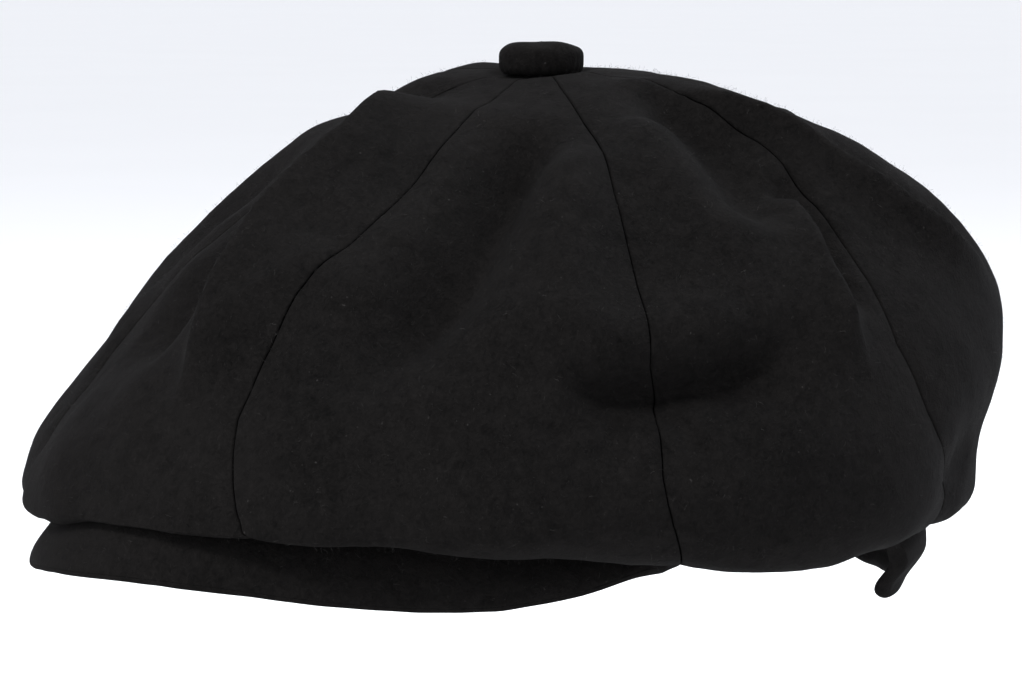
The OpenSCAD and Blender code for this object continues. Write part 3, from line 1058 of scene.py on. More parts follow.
@dataclass(frozen=True)
class Lining:
    """Four pieces of satin that hang inside the crown, gathered to the sweatband."""

    form: CrownForm
    band_height: float
    cloth: float = 0.0005
    clear: float = 0.0071
    turn: float = 0.41
    upper_share: float = 0.7
    half_angle: float = 44.85
    steps: int = 72
    rows_down: int = 96
    slack: Unevenness = Unevenness(21, 0.046)
    crush: Unevenness = Unevenness(22, 0.016)

    def crown_t(self, t: Array) -> Array:
        """The crown's t over a place on the lining."""
        return np.minimum(t / self.upper_share, 1) * self.turn

    def face(self, angle: Array, t: Array) -> Array:
        """Points of the lining's smooth outer face."""
        upper_t = self.crown_t(t)
        upper = self.form.smooth(angle, upper_t) - self.form.smooth_out(angle, upper_t) * self.clear
        low_r, low_z = np.linalg.norm(upper[..., :2], axis=-1), upper[..., 2]
        hem_r = self.form.oval.radius(angle, self.form.band_out)
        hem_z = self.form.oval.rim(angle) + self.band_height + 0.0014
        k = np.clip((t - self.upper_share) / 0.3, 0, 1)
        lower = polar(
            bezier((low_r, low_r + 0.006, low_r - 0.006, hem_r), k),
            angle,
            bezier((low_z, low_z - 0.009, hem_z - 0.002, hem_z), k),
        )
        return np.where((t <= self.upper_share)[..., None], upper, lower)

    def quarter(self, index: int, name: str, wardrobe: Wardrobe) -> bpy.types.Object:
        """Make one quarter of the lining.

        Args:
            index: 0 for the front, then towards the wearer's left.
            name: The CAD node that it replaces.
            wardrobe: Source of the finishes.

        Returns:
            The finished piece.
        """
        s = crowded_ends(self.steps)[:, None]
        t = np.linspace(0.0, 1.0, self.rows_down)[None, :]
        angle = 90.0 * index + s * self.half_angle
        t = np.broadcast_to(t, np.broadcast_shapes(angle.shape, t.shape))
        angle = np.broadcast_to(angle, t.shape)
        base = self.face(angle, t)
        axis = np.array([0, 0, 0.03])
        inward = axis - base
        inward = inward / np.linalg.norm(inward, axis=-1, keepdims=True)
        edge = np.exp(-(1 - np.abs(s)) * 22)
        pleat = np.sin(np.radians(angle) * 96 + 2.0 * self.slack.at(base * 2))
        over = self.crown_t(t)
        crown, crown_out = self.form.smooth(angle, over), self.form.smooth_out(angle, over)
        folded = np.zeros(t.shape)
        for fold in self.form.folds:
            folded = folded + fold.lift(crown, crown_out, self.form.smooth)
        dodge = np.maximum(-folded - 0.0010, 0) * blend_in(0.86, 0.70, t)
        lift = 0.0011 + 0.0010 * self.slack.at(base) + 0.0004 * self.crush.at(base) + dodge
        lift = lift * blend_in(0.02, 0.12, t) * blend_in(1.0, 0.93, t) - 0.0008 * edge * blend_in(0.0, 0.1, t)
        lift = lift + 0.0006 * (pleat + 1) * blend_in(0.74, 0.93, t) * blend_in(1.02, 0.99, t)
        outer = base + inward * lift[..., None]
        inner = outer + inward * self.cloth
        obj = MeshKit.shell(f"{name}_satin", outer, inner)
        wardrobe.dress(obj, Finish.LINING)
        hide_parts(name)
        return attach(obj, "cap")

    def make(self, wardrobe: Wardrobe) -> list[bpy.types.Object]:
        """Make the four quarters."""
        names = ("lining_front", "lining_left", "lining_back", "lining_right")
        return [self.quarter(i, name, wardrobe) for i, name in enumerate(names)]


@dataclass(frozen=True)
class BlankLabel:
    """Blank woven label with folded ends, sewn flat under the top of the lining."""

    lining: Lining
    width: float = 0.046
    length: float = 0.028
    thickness: float = 0.0005
    behind: float = 0.030
    hang: float = 0.0035
    sewn_in: float = 0.0016

    def face(self, x: Array, y: Array) -> Array:
        """Points just below the lining at a place in plan."""
        r = np.hypot(x, y)
        angle = np.degrees(np.arctan2(x, -y))
        reach = self.lining.form.reach(angle) - self.lining.clear
        share = np.degrees(np.arcsin(np.clip((r - self.lining.form.hole) / reach, 0, 1))) / 90
        t = share * self.lining.upper_share / self.lining.turn * self.lining.form.shoulder
        z = self.lining.face(angle, np.clip(t, 0, 0.69))[..., 2]
        return np.stack([x, y, z - self.hang], -1)

    def outline(self) -> Array:
        """Points of the sewn line just inside the label's edge, on its face."""
        half_x, half_y = self.width / 2 - self.sewn_in, self.length / 2 - self.sewn_in
        k = np.linspace(-1, 1, 40)
        x = np.concatenate([k * half_x, np.full(40, half_x), -k * half_x, np.full(40, -half_x)])
        y = np.concatenate([np.full(40, -half_y), k * half_y, np.full(40, half_y), -k * half_y]) + self.behind
        return self.face(x, y) - np.array([0, 0, self.thickness + 0.0001])

    def make(self, wardrobe: Wardrobe) -> bpy.types.Object:
        """Make the label."""
        u = np.linspace(-0.5, 0.5, 41)[:, None]
        v = np.linspace(-0.5, 0.5, 29)[None, :]
        x, y = np.broadcast_arrays(u * self.width, v * self.length + self.behind)
        top = self.face(x, y)
        ends = blend_in(0.40, 0.47, np.abs(u)) * 0.0005 * np.ones_like(v)
        top[..., 2] += 0.0003 * Unevenness(31, 0.02).at(top)
        low = top.copy()
        low[..., 2] -= self.thickness + ends
        obj = MeshKit.shell("lining_label_woven", top, low, np.stack([x, y], -1))
        wardrobe.dress(obj, Finish.LABEL)
        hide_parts("lining_label")
        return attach(obj, "cap")


# ---------------------------------------------------------------- head band


@dataclass(frozen=True)
class HeadStrip:
    """One layer of the head band: a strip round the head oval, from low to high above the rim."""

    name: str
    node: str
    finish: Finish
    inner: float
    thickness: float
    low: float
    high: float
    steps: int = 288

    def make(self, oval: HeadOval, wardrobe: Wardrobe) -> bpy.types.Object:
        """Make the strip.

        Args:
            oval: The oval that it follows.
            wardrobe: Source of the finishes.

        Returns:
            The finished piece.
        """
        angle = np.linspace(0, 360, self.steps, endpoint=False)[:, None]
        side = np.linspace(0, 1, 9)[None, :]
        soft = min(self.thickness * 0.45, 0.0005)
        half = self.thickness / 2
        up = np.concatenate([side, side[:, ::-1]], 1)
        out_sign = np.concatenate([np.ones_like(side), -np.ones_like(side)], 1)
        height = self.low + up * (self.high - self.low)
        from_end = np.minimum(up, 1 - up) * (self.high - self.low)
        full = half - soft * blend_in(0.0006, 0.0, from_end)
        offset = self.inner + half + out_sign * full
        angle = np.broadcast_to(angle, (self.steps, offset.shape[1]))
        rings = polar(oval.radius(angle, offset), angle, oval.rim(angle) + height)
        wave = Unevenness(41, 0.035).at(rings) * blend_in(0, 0.004, from_end)
        rings[..., :2] *= 1 + (0.00010 * wave / 0.09)[..., None]
        around = np.radians(angle) * (oval.half_width + oval.half_length) / 2
        obj = MeshKit.swept(self.name, rings, True, np.stack([around, height + 0 * angle], -1))
        wardrobe.dress(obj, self.finish)
        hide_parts(self.node)
        around_m = math.pi * (oval.half_width + oval.half_length + 2 * self.inner)
        return FRONT_GIVES.apply(obj)


# ---------------------------------------------------------------- visor


@dataclass(frozen=True)
class VisorForm:
    """Middle surface of the visor, from the band to its edge."""

    oval: HeadOval
    half_width: float = 0.091
    reach: float = 0.147
    centre: float = 0.024
    band_out: float = 0.0048
    bulge: float = 0.0040
    edge_heights: tuple[tuple[float, float], ...] = (
        (-87, 3), (-80, -1), (-70, -4.4), (-60, -5.8), (-45, -6.2), (-30, -5.2), (-15, -2.2), (0, 0.1), (15, 1.6),
        (30, 0.8), (45, -2.3), (60, -4.8), (70, -4.3), (80, -0.8), (87, 3.4),
    )

    def middle(self, s: Array, w: Array) -> Array:
        """Points of the middle surface.

        Args:
            s: Place across, from -1 to 1.
            w: Place from the band (0) to the edge (1).

        Returns:
            The points.
        """
        s, w = np.broadcast_arrays(np.asarray(s, float), np.asarray(w, float))
        angle = self.oval.visor_end * s
        turn = np.radians(87 * s)
        root = polar(self.oval.radius(angle, self.band_out), angle, self.oval.rim(angle) + 0.0012)
        knots = np.array(self.edge_heights)
        edge_z = np.interp(87 * s, knots[:, 0], knots[:, 1] * MM)
        edge_z = (edge_z + np.interp(87 * s - 5, knots[:, 0], knots[:, 1] * MM)
                  + np.interp(87 * s + 5, knots[:, 0], knots[:, 1] * MM)) / 3
        edge = np.stack(
            [self.half_width * np.sin(turn), -self.centre - (self.reach - self.centre) * np.cos(turn), edge_z], -1
        )
        points = root + (edge - root) * w[..., None]
        points[..., 2] += self.bulge * np.sin(math.pi * w**1.4) * (1 - s**2)
        return points

    def edge_line(self) -> Array:
        """Points round the open edge, from one end at the band to the other."""
        w, s = np.linspace(0, 1, 24), np.linspace(-1, 1, 220)
        return np.concatenate([self.middle(-1.0, w), self.middle(s, 1.0)[1:], self.middle(1.0, w[::-1])[1:]])

    def from_edge(self, points: Array) -> Array:
        """Distance of each point of the middle surface from the open edge."""
        line = self.edge_line()
        best = np.full(points.shape[:-1], np.inf)
        for a, b in zip(line[:-1], line[1:]):
            d = b - a
            k = np.clip(((points - a) @ d) / (d @ d), 0, 1)
            best = np.minimum(best, np.linalg.norm(points - a - k[..., None] * d, axis=-1))
        return best


@dataclass(frozen=True)
class VisorCloth:
    """Wool stretched over one side of the visor board, meeting the other side in a rounded edge."""

    name: str
    node: str
    side: float
    thickness: float = 0.00275
    inside: float = 0.00122
    round_over: float = 0.0034
    plump: float = 0.0
    across: int = 200
    outward: int = 56
    nap_density: float = 190000
    slack: Unevenness = Unevenness(51, 0.034)
    close_slack: Unevenness = Unevenness(52, 0.010)

    def make(self, form: VisorForm, wardrobe: Wardrobe, nap: "Nap") -> list[bpy.types.Object]:
        """Make the cloth and its nap.

        Args:
            form: The visor's middle surface.
            wardrobe: Source of the finishes.
            nap: Grows the nap.

        Returns:
            The finished cloth and its nap.
        """
        u = np.linspace(-1, 1, self.across + 1)
        s = np.sin(u * math.pi / 2)[:, None] * 0.35 + u[:, None] * 0.65
        w = (np.sin(np.linspace(0, 1, self.outward) * math.pi / 2))[None, :]
        middle = form.middle(s, w)
        d = form.from_edge(middle)
        arc = np.sqrt(np.maximum(1 - (1 - np.minimum(d / self.round_over, 1)) ** 2, 0))
        uneven = 0.00022 * self.slack.at(middle) + 0.00010 * self.close_slack.at(middle)
        over = 0.00014 + (self.thickness - 0.00014) * arc + uneven * arc - 0.00012 * arc
        under = 0.00005 + (self.inside - 0.00005) * blend_in(0.0, 0.0026, d)
        under = np.minimum(under, over - 0.00006)
        outer, inner = middle.copy(), middle.copy()
        raised = self.plump * np.sin(math.pi * w**1.4) * (1 - s**2)
        outer[..., 2] += self.side * over + raised
        inner[..., 2] += self.side * under + raised
        obj = MeshKit.shell(self.name, outer, inner, middle[..., :2])
        wardrobe.dress(obj, Finish.WOOL)
        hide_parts(self.node)
        fibres = nap.grow(f"{self.name}_nap", outer[::2, ::2], self.nap_density, 21 + int(self.side))
        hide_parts(self.node)
        return [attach(obj, "visor"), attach(fibres, "visor")]


# ---------------------------------------------------------------- neck flap


@dataclass(frozen=True)
class NeckFlap:
    """Wool folded back on itself round a strip of fleece, at the back of the head."""

    oval: HeadOval
    inner: float = 0.0044
    width: float = 0.0046
    cloth: float = 0.0013
    top: float = 0.0026
    drop: float = 0.021
    end: float = 56.0
    steps: int = 168
    wave: Unevenness = Unevenness(61, 0.040)
    ripple: Unevenness = Unevenness(62, 0.013)

    def section(self) -> tuple[Array, Array]:
        """Middle line of the folded cloth as offset and height, from the outer leg to the inner."""
        half = self.width / 2 - self.cloth / 2
        leg = np.linspace(self.top, -self.drop + self.width / 2, 20)
        turn = np.radians(np.linspace(0, 180, 15))[1:-1]
        offset = np.concatenate([np.full(20, half), half * np.cos(turn), np.full(20, -half)])
        low = -self.drop + self.width / 2
        height = np.concatenate([leg, low - (self.width / 2 - self.cloth / 2) * np.sin(turn), leg[::-1]])
        return offset + self.inner + self.width / 2, height

    def depth(self, angle: Array) -> Array:
        """Share of its full drop that the flap has: it is deep at the back and runs out to its ends."""
        return 0.12 + 0.88 * blend_in(self.end + 3, self.end - 12, np.abs(angle - 180))

    def sway(self, angle: Array, height: Array) -> Array:
        """How far the flap stands out of its smooth sweep: it bellies out and curls in at its fold."""
        at = polar(0.1, angle, height * 0.6)
        hang = blend_in(0.0, -self.drop * 0.8, height)
        belly = 0.0034 * blend_in(0.001, -0.006, height) - 0.0058 * blend_in(-0.009, -0.020, height)
        return (0.0009 * self.wave.at(at) + 0.00035 * self.ripple.at(at)) * hang + belly

    def sweep(self, name: str, offset: Array, height: Array, end: float, puff: float) -> bpy.types.Object:
        """Sweep a closed section round the back of the head.

        Args:
            name: The piece's name.
            offset: Offsets of the section from the head oval.
            height: Heights of the section.
            end: Angle from the back at which it ends.
            puff: How far its wall swells between the stitched ends.

        Returns:
            The swept piece.
        """
        u = np.linspace(-1, 1, self.steps + 1)
        angle = (180 + end * np.sin(u * math.pi / 2) * 0.25 + end * u * 0.75)[:, None]
        rows = self.top - (self.top - height) * self.depth(angle)
        sway = self.sway(angle, rows)
        out = np.where(offset > self.inner + self.width / 2, puff, 0.0)
        belly = out * np.sin(np.clip((self.top - rows) / (self.top + self.drop), 0, 1) * math.pi)
        rings = polar(self.oval.radius(angle, offset + sway + belly), angle, rows)
        lift = 0.0006 * self.wave.at(rings * 1.3) * blend_in(-0.010, -0.020, rows)
        rings[..., 2] += lift
        along = np.broadcast_to(np.radians(angle) * 0.1, rows.shape)
        return MeshKit.swept(name, rings, False, np.stack([along, rows + offset], -1))

    def make_cloth(self, wardrobe: Wardrobe) -> bpy.types.Object:
        """Make the folded wool."""
        offset, height = self.section()
        step = np.stack([np.gradient(offset), np.gradient(height)], -1)
        step /= np.linalg.norm(step, axis=1, keepdims=True)
        normal = np.stack([-step[:, 1], step[:, 0]], -1) * self.cloth / 2
        out = np.concatenate([offset + normal[:, 0], (offset - normal[:, 0])[::-1]])
        up = np.concatenate([height + normal[:, 1], (height - normal[:, 1])[::-1]])
        obj = self.sweep("neck_flap_wool", out, up, self.end, 0.0004)
        wardrobe.dress(obj, Finish.WOOL)
        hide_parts("neck_flap_cloth")
        return FLAP_LETS_OUT.apply(obj)

    def make_fleece(self, wardrobe: Wardrobe) -> bpy.types.Object:
        """Make the fleece inside the fold."""
        inside = self.cloth + 0.00018
        low, high = -self.drop + self.cloth + 0.0010, self.top - 0.0004
        side = np.linspace(low + 0.0006, high, 18)
        offset = np.concatenate([np.full(18, self.inner + self.width - inside), np.full(18, self.inner + inside)])
        obj = self.sweep("neck_flap_pile", offset, np.concatenate([side, side[::-1]]), self.end - 4.0, 0.0)
        wardrobe.dress(obj, Finish.FLEECE)
        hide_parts("neck_flap_fleece")
        return FLAP_LETS_OUT.apply(obj)


# ---------------------------------------------------------------- button


@dataclass(frozen=True)
class ButtonCover:
    """Wool stretched over the metal shell of the top button and gathered under it."""

    base: float
    radius: float = 0.01135
    height: float = 0.0062
    skirt: float = 0.0027
    steps: int = 120
    slack: Unevenness = Unevenness(71, 0.008)

    def section(self) -> tuple[Array, Array]:
        """Closed section as radius and height, out over the top and back inside."""
        k = np.linspace(0, 1, 26)
        r, h, low = self.radius, self.height, -self.skirt
        over_r = bezier((0.0, 0.0066, r - 0.00005, r), k)
        over_z = bezier((h, h, h - 0.0004, h * 0.36), k)
        under_r = bezier((r, r, r - 0.0002, 0.0086), k)[1:]
        under_z = bezier((h * 0.36, h * 0.36 - 0.0022, low, low), k)[1:]
        back_r = np.array([0.0086, 0.0094, 0.01012, 0.01014, 0.01010, 0.0088, 0.0060, 0.0030, 0.0])
        back_z = np.array([0.0007, 0.00085, 0.0013, 0.0022, 0.0032, 0.0044, 0.0047, 0.0049, 0.0050])
        return np.concatenate([over_r, under_r, back_r]), np.concatenate([over_z, under_z, back_z])

    def make(self, wardrobe: Wardrobe) -> bpy.types.Object:
        """Make the cover."""
        r, z = self.section()
        angle = np.linspace(0, 360, self.steps, endpoint=False)[:, None]
        gather = np.sin(np.radians(angle) * 26 + 1.5 * np.sin(np.radians(angle) * 3))
        deep = blend_in(0.0020, -0.0012, z) * blend_in(0.0075, 0.0105, r)
        radius = r + 0.00022 * gather * deep
        rings = polar(radius, angle, self.base + z)
        rings[..., 2] += 0.00016 * self.slack.at(rings) * (blend_in(0.0035, 0.0055, z) * (r > 0))
        around = np.broadcast_to(np.radians(angle) * self.radius, radius.shape)
        obj = MeshKit.merged(MeshKit.swept("button_cover_cloth", rings, True, np.stack([around, radius], -1)))
        wardrobe.dress(obj, Finish.WOOL)
        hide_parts("button_cover")
        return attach(obj, "cap")


# ---------------------------------------------------------------- stitches and nap


class NodeTree:
    """A Geometry Nodes tree, built node by node, with named inputs."""

    def __init__(self, name: str, inputs: dict[str, str]) -> None:
        """Start a tree.

        Args:
            name: Its name.
            inputs: Socket type of each named input.
        """
        self.group = bpy.data.node_groups.new(name, "GeometryNodeTree")
        face = self.group.interface
        face.new_socket("Geometry", in_out="INPUT", socket_type="NodeSocketGeometry")
        self.names = {n: face.new_socket(n, in_out="INPUT", socket_type=t).identifier for n, t in inputs.items()}
        face.new_socket("Geometry", in_out="OUTPUT", socket_type="NodeSocketGeometry")
        self.source = self.group.nodes.new("NodeGroupInput")

    def add(self, kind: str, settings: dict[str, Any], inputs: dict[Any, Any]) -> Any:
        """Add one node.

        Args:
            kind: The node's type.
            settings: Its properties, set first.
            inputs: Values, outputs of other nodes, or names of the tree's inputs after an at sign.

        Returns:
            The node's outputs.
        """
        node = self.group.nodes.new(kind)
        for key, value in settings.items():
            setattr(node, key, value)
        for key, value in inputs.items():
            if isinstance(value, str) and value.startswith("@"):
                value = self.source.outputs[value[1:]]
            if isinstance(value, bpy.types.NodeSocket):
                self.group.links.new(value, node.inputs[key])
            else:
                node.inputs[key].default_value = value
        return node.outputs

    def end(self, geometry: Any) -> None:
        """Realize the instances, set their material and send them out."""
        real = self.add("GeometryNodeRealizeInstances", {}, {"Geometry": geometry})[0]
        smooth = self.add("GeometryNodeSetShadeSmooth", {}, {"Geometry": real})[0]
        dressed = self.add("GeometryNodeSetMaterial", {}, {"Geometry": smooth, "Material": "@Material"})[0]
        self.add("NodeGroupOutput", {}, {"Geometry": dressed})

    def grow(self, source: bpy.types.Object, name: str, values: dict[str, Any]) -> bpy.types.Object:
        """Run the tree on an object and keep the result as a plain mesh.

        Args:
            source: The object that it starts from; it is removed.
            name: Name of the new piece.
            values: Value of each named input.

        Returns:
            The new piece.
        """
        modifier = source.modifiers.new("grow", "NODES")
        modifier.node_group = self.group
        for key, value in values.items():
            modifier[self.names[key]] = value
        graph = bpy.context.evaluated_depsgraph_get()
        mesh = bpy.data.meshes.new_from_object(source.evaluated_get(graph))
        mesh.name = name
        source.modifiers.remove(modifier)
        bpy.data.objects.remove(source)
        obj = bpy.data.objects.new(name, mesh)
        bpy.context.scene.collection.objects.link(obj)
        return obj


class Stitches:
    """Rows of stitches along seams."""

    def __init__(self, wardrobe: Wardrobe) -> None:
        """Build the tree: short rounded stitches laid end to end along a path."""
        self.wardrobe = wardrobe
        tree = NodeTree("stitch_row", {
            "Pitch": "NodeSocketFloat", "Length": "NodeSocketFloat", "Thickness": "NodeSocketFloat",
            "Material": "NodeSocketMaterial",
        })
        curve = tree.add("GeometryNodeMeshToCurve", {}, {"Mesh": tree.source.outputs["Geometry"]})[0]
        spaced = tree.add("GeometryNodeResampleCurve", {"mode": "LENGTH"}, {"Curve": curve, "Length": "@Pitch"})[0]
        tangent = tree.add("GeometryNodeInputTangent", {}, {})[0]
        turned = tree.add("FunctionNodeAlignRotationToVector", {"axis": "Z"}, {"Vector": tangent})[0]
        ball = tree.add("GeometryNodeMeshUVSphere", {}, {"Segments": 6, "Rings": 5, "Radius": 0.5})[0]
        size = tree.add("ShaderNodeCombineXYZ", {}, {"X": "@Thickness", "Y": "@Thickness", "Z": "@Length"})[0]
        laid = tree.add("GeometryNodeInstanceOnPoints", {}, {
            "Points": spaced, "Instance": ball, "Rotation": turned, "Scale": size,
        })[0]
        tree.end(laid)
        self.tree = tree

    def row(self, name: str, path: Array, pitch: float, length: float, thickness: float) -> bpy.types.Object:
        """Sew one row.

        Args:
            name: Name of the new piece.
            path: Points along the seam.
            pitch: Distance between stitches.
            length: Length of a stitch.
            thickness: Thickness of the thread.

        Returns:
            The row as a plain mesh with its finish.
        """
        edges = [(i, i + 1) for i in range(len(path) - 1)]
        mesh = bpy.data.meshes.new(f"{name}_path")
        mesh.from_pydata(path.tolist(), edges, [])
        source = bpy.data.objects.new(f"{name}_path", mesh)
        bpy.context.scene.collection.objects.link(source)
        obj = self.tree.grow(source, name, {
            "Pitch": pitch, "Length": length, "Thickness": thickness,
            "Material": self.wardrobe.material(Finish.THREAD),
        })
        return obj


class Nap:
    """Fibres that stand up from brushed wool."""

    length = 0.0017
    width = 0.00002
    lean = 0.9

    def __init__(self, wardrobe: Wardrobe) -> None:
        """Build the tree: bent three-sided fibres scattered over faces, each leaning its own way."""
        self.wardrobe = wardrobe
        tree = NodeTree("wool_nap", {
            "Density": "NodeSocketFloat", "Length": "NodeSocketFloat", "Width": "NodeSocketFloat",
            "Lean": "NodeSocketFloat", "Seed": "NodeSocketInt", "Material": "NodeSocketMaterial",
        })
        spread = tree.add("GeometryNodeDistributePointsOnFaces", {}, {
            "Mesh": tree.source.outputs["Geometry"], "Density": "@Density", "Seed": "@Seed",
        })
        bend = tree.add("GeometryNodeCurveQuadraticBezier", {}, {
            "Resolution": 2, "Start": (0, 0, -0.08), "Middle": (0.05, 0, 0.55), "End": (0.55, 0, 0.80),
        })[0]
        thin = tree.add("GeometryNodeCurvePrimitiveCircle", {}, {"Resolution": 3, "Radius": "@Width"})[0]
        fibre = tree.add("GeometryNodeCurveToMesh", {}, {"Curve": bend, "Profile Curve": thin, "Fill Caps": True})[0]
        low = tree.add("ShaderNodeMath", {"operation": "MULTIPLY"}, {0: "@Lean", 1: -1.0})[0]
        least = tree.add("ShaderNodeCombineXYZ", {}, {"X": low, "Y": low, "Z": -3.14159})[0]
        most = tree.add("ShaderNodeCombineXYZ", {}, {"X": "@Lean", "Y": "@Lean", "Z": 3.14159})[0]
        turn = tree.add("FunctionNodeRandomValue", {"data_type": "FLOAT_VECTOR"}, {
            "Min": least, "Max": most, "Seed": "@Seed",
        })[0]
        size = tree.add("FunctionNodeRandomValue", {"data_type": "FLOAT"}, {
            2: 0.35, 3: 1.0, "Seed": "@Seed",
        })[1]
        long = tree.add("ShaderNodeMath", {"operation": "MULTIPLY"}, {0: "@Length", 1: size})[0]
        laid = tree.add("GeometryNodeInstanceOnPoints", {}, {
            "Points": spread[0], "Instance": fibre, "Rotation": spread["Rotation"], "Scale": long,
        })[0]
        leaning = tree.add("GeometryNodeRotateInstances", {}, {"Instances": laid, "Rotation": turn})[0]
        tree.end(leaning)
        self.tree = tree

    def grow(self, name: str, skin: Array, density: float, seed: int) -> bpy.types.Object:
        """Grow nap on a grid of outer points.

        Args:
            name: Name of the new piece.
            skin: Grid of points of the cloth's outer face.
            density: Fibres in a square metre.
            seed: Seed of the scatter.

        Returns:
            The fibres as a plain mesh with their finish.
        """
        n, m = skin.shape[:2]
        at = np.arange(n * m).reshape(n, m)
        faces = MeshKit.grid_faces(at)
        normals = grid_normals(skin)
        if (normals * (skin - skin.mean((0, 1)) * 0.5)).sum() < 0:
            faces = faces[:, ::-1]
        source = MeshKit.object(f"{name}_skin", skin, faces.tolist())
        obj = self.tree.grow(source, name, {
            "Density": density, "Length": self.length, "Width": self.width / self.length, "Lean": self.lean,
            "Seed": seed, "Material": self.wardrobe.material(Finish.NAP),
        })
        return obj


# ---------------------------------------------------------------- studio


@dataclass(frozen=True)
class Lamp:
    """A soft area lamp, placed round the cap."""

    name: str
    azimuth: float
    elevation: float
    distance: float
    size: float
    power: float
    colour: tuple[float, float, float]


@dataclass(frozen=True)
class Studio:
    """Pale floor and backdrop, soft lamps and the camera."""

    azimuth: float = 53.0
    elevation: float = 6.5
    distance: float = 0.874
    frame_width: float = 0.276
    aim_height: float = 0.0465
    aim_right: float = -0.0081
    floor_height: float = -0.110
    floor_half: float = 60.0
    lamps: tuple[Lamp, ...] = (
        Lamp("key", 14, 60, 1.5, 0.5, 19.0, (1.0, 0.985, 0.965)),
        Lamp("fill", 24, 8, 1.6, 1.0, 6.0, (1.0, 0.99, 0.98)),
        Lamp("side", -20, 30, 1.7, 1.0, 2.0, (0.94, 0.97, 1.0)),
        Lamp("rim", 170, 44, 1.6, 1.0, 20.0, (0.92, 0.96, 1.0)),
    )

    @staticmethod
    def way(azimuth: float, elevation: float) -> Vector:
        """Direction from the cap at an azimuth and elevation."""
        a, e = math.radians(azimuth), math.radians(elevation)
        return Vector((math.sin(a) * math.cos(e), -math.cos(a) * math.cos(e), math.sin(e)))

    def aim(self) -> Vector:
        """The point at which the camera looks."""
        a = math.radians(self.azimuth)
        return Vector((math.cos(a), math.sin(a), 0)) * self.aim_right + Vector((0, 0, self.aim_height))

    @staticmethod
    def look_from(obj: bpy.types.Object, place: Vector, at: Vector) -> None:
        """Put a lamp or camera at a place, looking at a point."""
        obj.location = place
        obj.rotation_euler = (place - at).to_track_quat("Z", "Y").to_euler()

    def make_camera(self) -> None:
        """Make the camera."""
        data = bpy.data.cameras.new("camera")
        data.sensor_width = 36.0
        data.lens = 36.0 * self.distance / self.frame_width
        data.clip_start, data.clip_end = 0.02, 200
        data.dof.use_dof = False
        camera = bpy.data.objects.new("camera", data)
        bpy.context.scene.collection.objects.link(camera)
        self.look_from(camera, self.aim() + self.way(self.azimuth, self.elevation) * self.distance, self.aim())
        bpy.context.scene.camera = camera

    def make_lamps(self) -> None:
        """Make the lamps."""
        centre = Vector((0, 0, 0.05))
        for lamp in self.lamps:
            data = bpy.data.lights.new(lamp.name, "AREA")
            data.shape, data.size, data.energy, data.color = "DISK", lamp.size, lamp.power, lamp.colour
            obj = bpy.data.objects.new(lamp.name, data)
            bpy.context.scene.collection.objects.link(obj)
            self.look_from(obj, centre + self.way(lamp.azimuth, lamp.elevation) * lamp.distance, centre)

    def make_surroundings(self) -> None:
        """Make the pale world and the plain way of showing colours."""
        scene = bpy.context.scene
        scene.world = bpy.data.worlds.new("surroundings")
        scene.world.use_nodes = True
        sky = scene.world.node_tree.nodes["Background"]
        sky.inputs["Color"].default_value = rgb(0.925, 0.945, 1.0)
        sky.inputs["Strength"].default_value = 1.0
        scene.view_settings.view_transform = "Standard"
        scene.view_settings.look = "None"

    def make_floor(self) -> None:
        """Make the floor."""
        corners = np.array([[-1, -1], [1, -1], [1, 1], [-1, 1]], float) * self.floor_half
        points = np.column_stack([corners, np.full(4, self.floor_height)])
        floor = MeshKit.object("floor", points, [(0, 1, 2, 3)])
        tree = Tree("pale_floor")
        grain = tree.noise(tree.place(), 0.4, 2.0)
        colour = tree.mix(grain.past(0.3, 0.7), rgb(0.93, 0.93, 0.93), rgb(0.94, 0.94, 0.94))
        floor.data.materials.append(tree.surface({"Base Color": colour, "Roughness": 0.9}, None))

    def make(self) -> None:
        """Set the whole studio up."""
        self.make_camera()
        self.make_lamps()
        self.make_surroundings()
        self.make_floor()


# ---------------------------------------------------------------- the whole cap


def report(obj: bpy.types.Object) -> bpy.types.Object:
    """Log a finished piece."""
    LOG.info("%s: %d faces", obj.name, len(obj.data.polygons))
    return obj


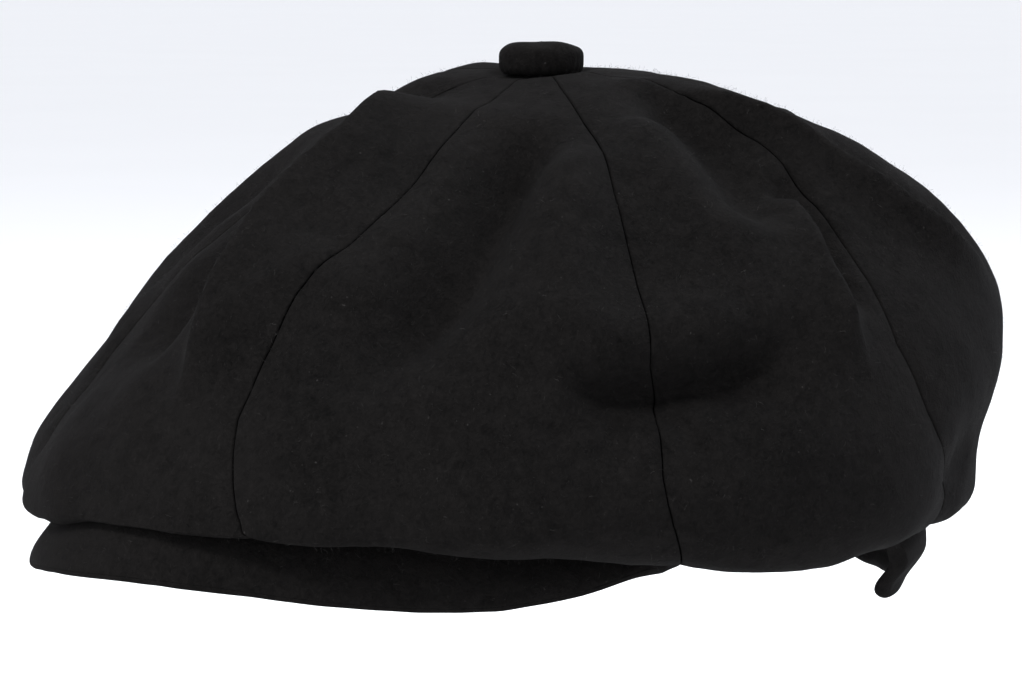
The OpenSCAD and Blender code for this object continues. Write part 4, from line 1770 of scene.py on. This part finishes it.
def main() -> None:
    """Build the cap round the frame's nodes, then the studio."""
    logging.basicConfig(level=logging.INFO, format="%(name)s: %(message)s")
    Studio().make()
    wardrobe = Wardrobe()
    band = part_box("sweatband")
    oval = HeadOval(band[1][0] - 1.2 * MM, band[1][1] - 1.2 * MM)
    crown_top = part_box("crown_panel_front")[1][2]
    form = CrownForm(oval, 0.0039, crown_top, folds=FOLDS, drift=SEAM_DRIFT)

    crown = Crown(form)
    nap = Nap(wardrobe)
    for obj in crown.make(wardrobe, nap):
        report(obj)
    lining = Lining(form, 0.0320)
    for obj in lining.make(wardrobe):
        report(obj)
    label = BlankLabel(lining)
    report(label.make(wardrobe))
    stitches = Stitches(wardrobe)
    for name, height in (("sweatband_stitches_low", 0.0032), ("sweatband_stitches_high", 0.0284)):
        around = np.linspace(0, 360, 361)
        path = polar(oval.radius(around, -0.00010), around, oval.rim(around) + height)
        report(FRONT_GIVES.apply(stitches.row(name, path, 0.0034, 0.0027, 0.00046)))
    report(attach(stitches.row("label_stitches", label.outline(), 0.0026, 0.0019, 0.00036), "cap"))
    for strip in (
        HeadStrip("sweatband_tape", "sweatband", Finish.TAPE, 0.0000, 0.0012, 0.0004, 0.0314),
        HeadStrip("headband_buckram", "headband_interlining", Finish.BUCKRAM, 0.0013, 0.0009, 0.0010, 0.0310),
        HeadStrip("headband_wool", "headband_facing", Finish.WOOL, 0.0023, 0.0016, 0.0000, 0.0320),
    ):
        report(strip.make(oval, wardrobe))
    visor = VisorForm(oval)
    for cloth in (
        VisorCloth("visor_top_wool", "visor_top_cloth", 1.0, plump=0.0024),
        VisorCloth("visor_under_wool", "visor_under_cloth", -1.0),
    ):
        for obj in cloth.make(visor, wardrobe, nap):
            report(obj)
    flap = NeckFlap(oval)
    report(flap.make_cloth(wardrobe))
    report(flap.make_fleece(wardrobe))
    report(ButtonCover(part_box("button_cover")[0][2]).make(wardrobe))
    wardrobe.dress_cad("visor_board", Finish.BOARD)
    for node in ("button_shell", "button_back", "button_washer"):
        wardrobe.dress_cad(node, Finish.METAL)


if __name__ == "__main__":
    main()
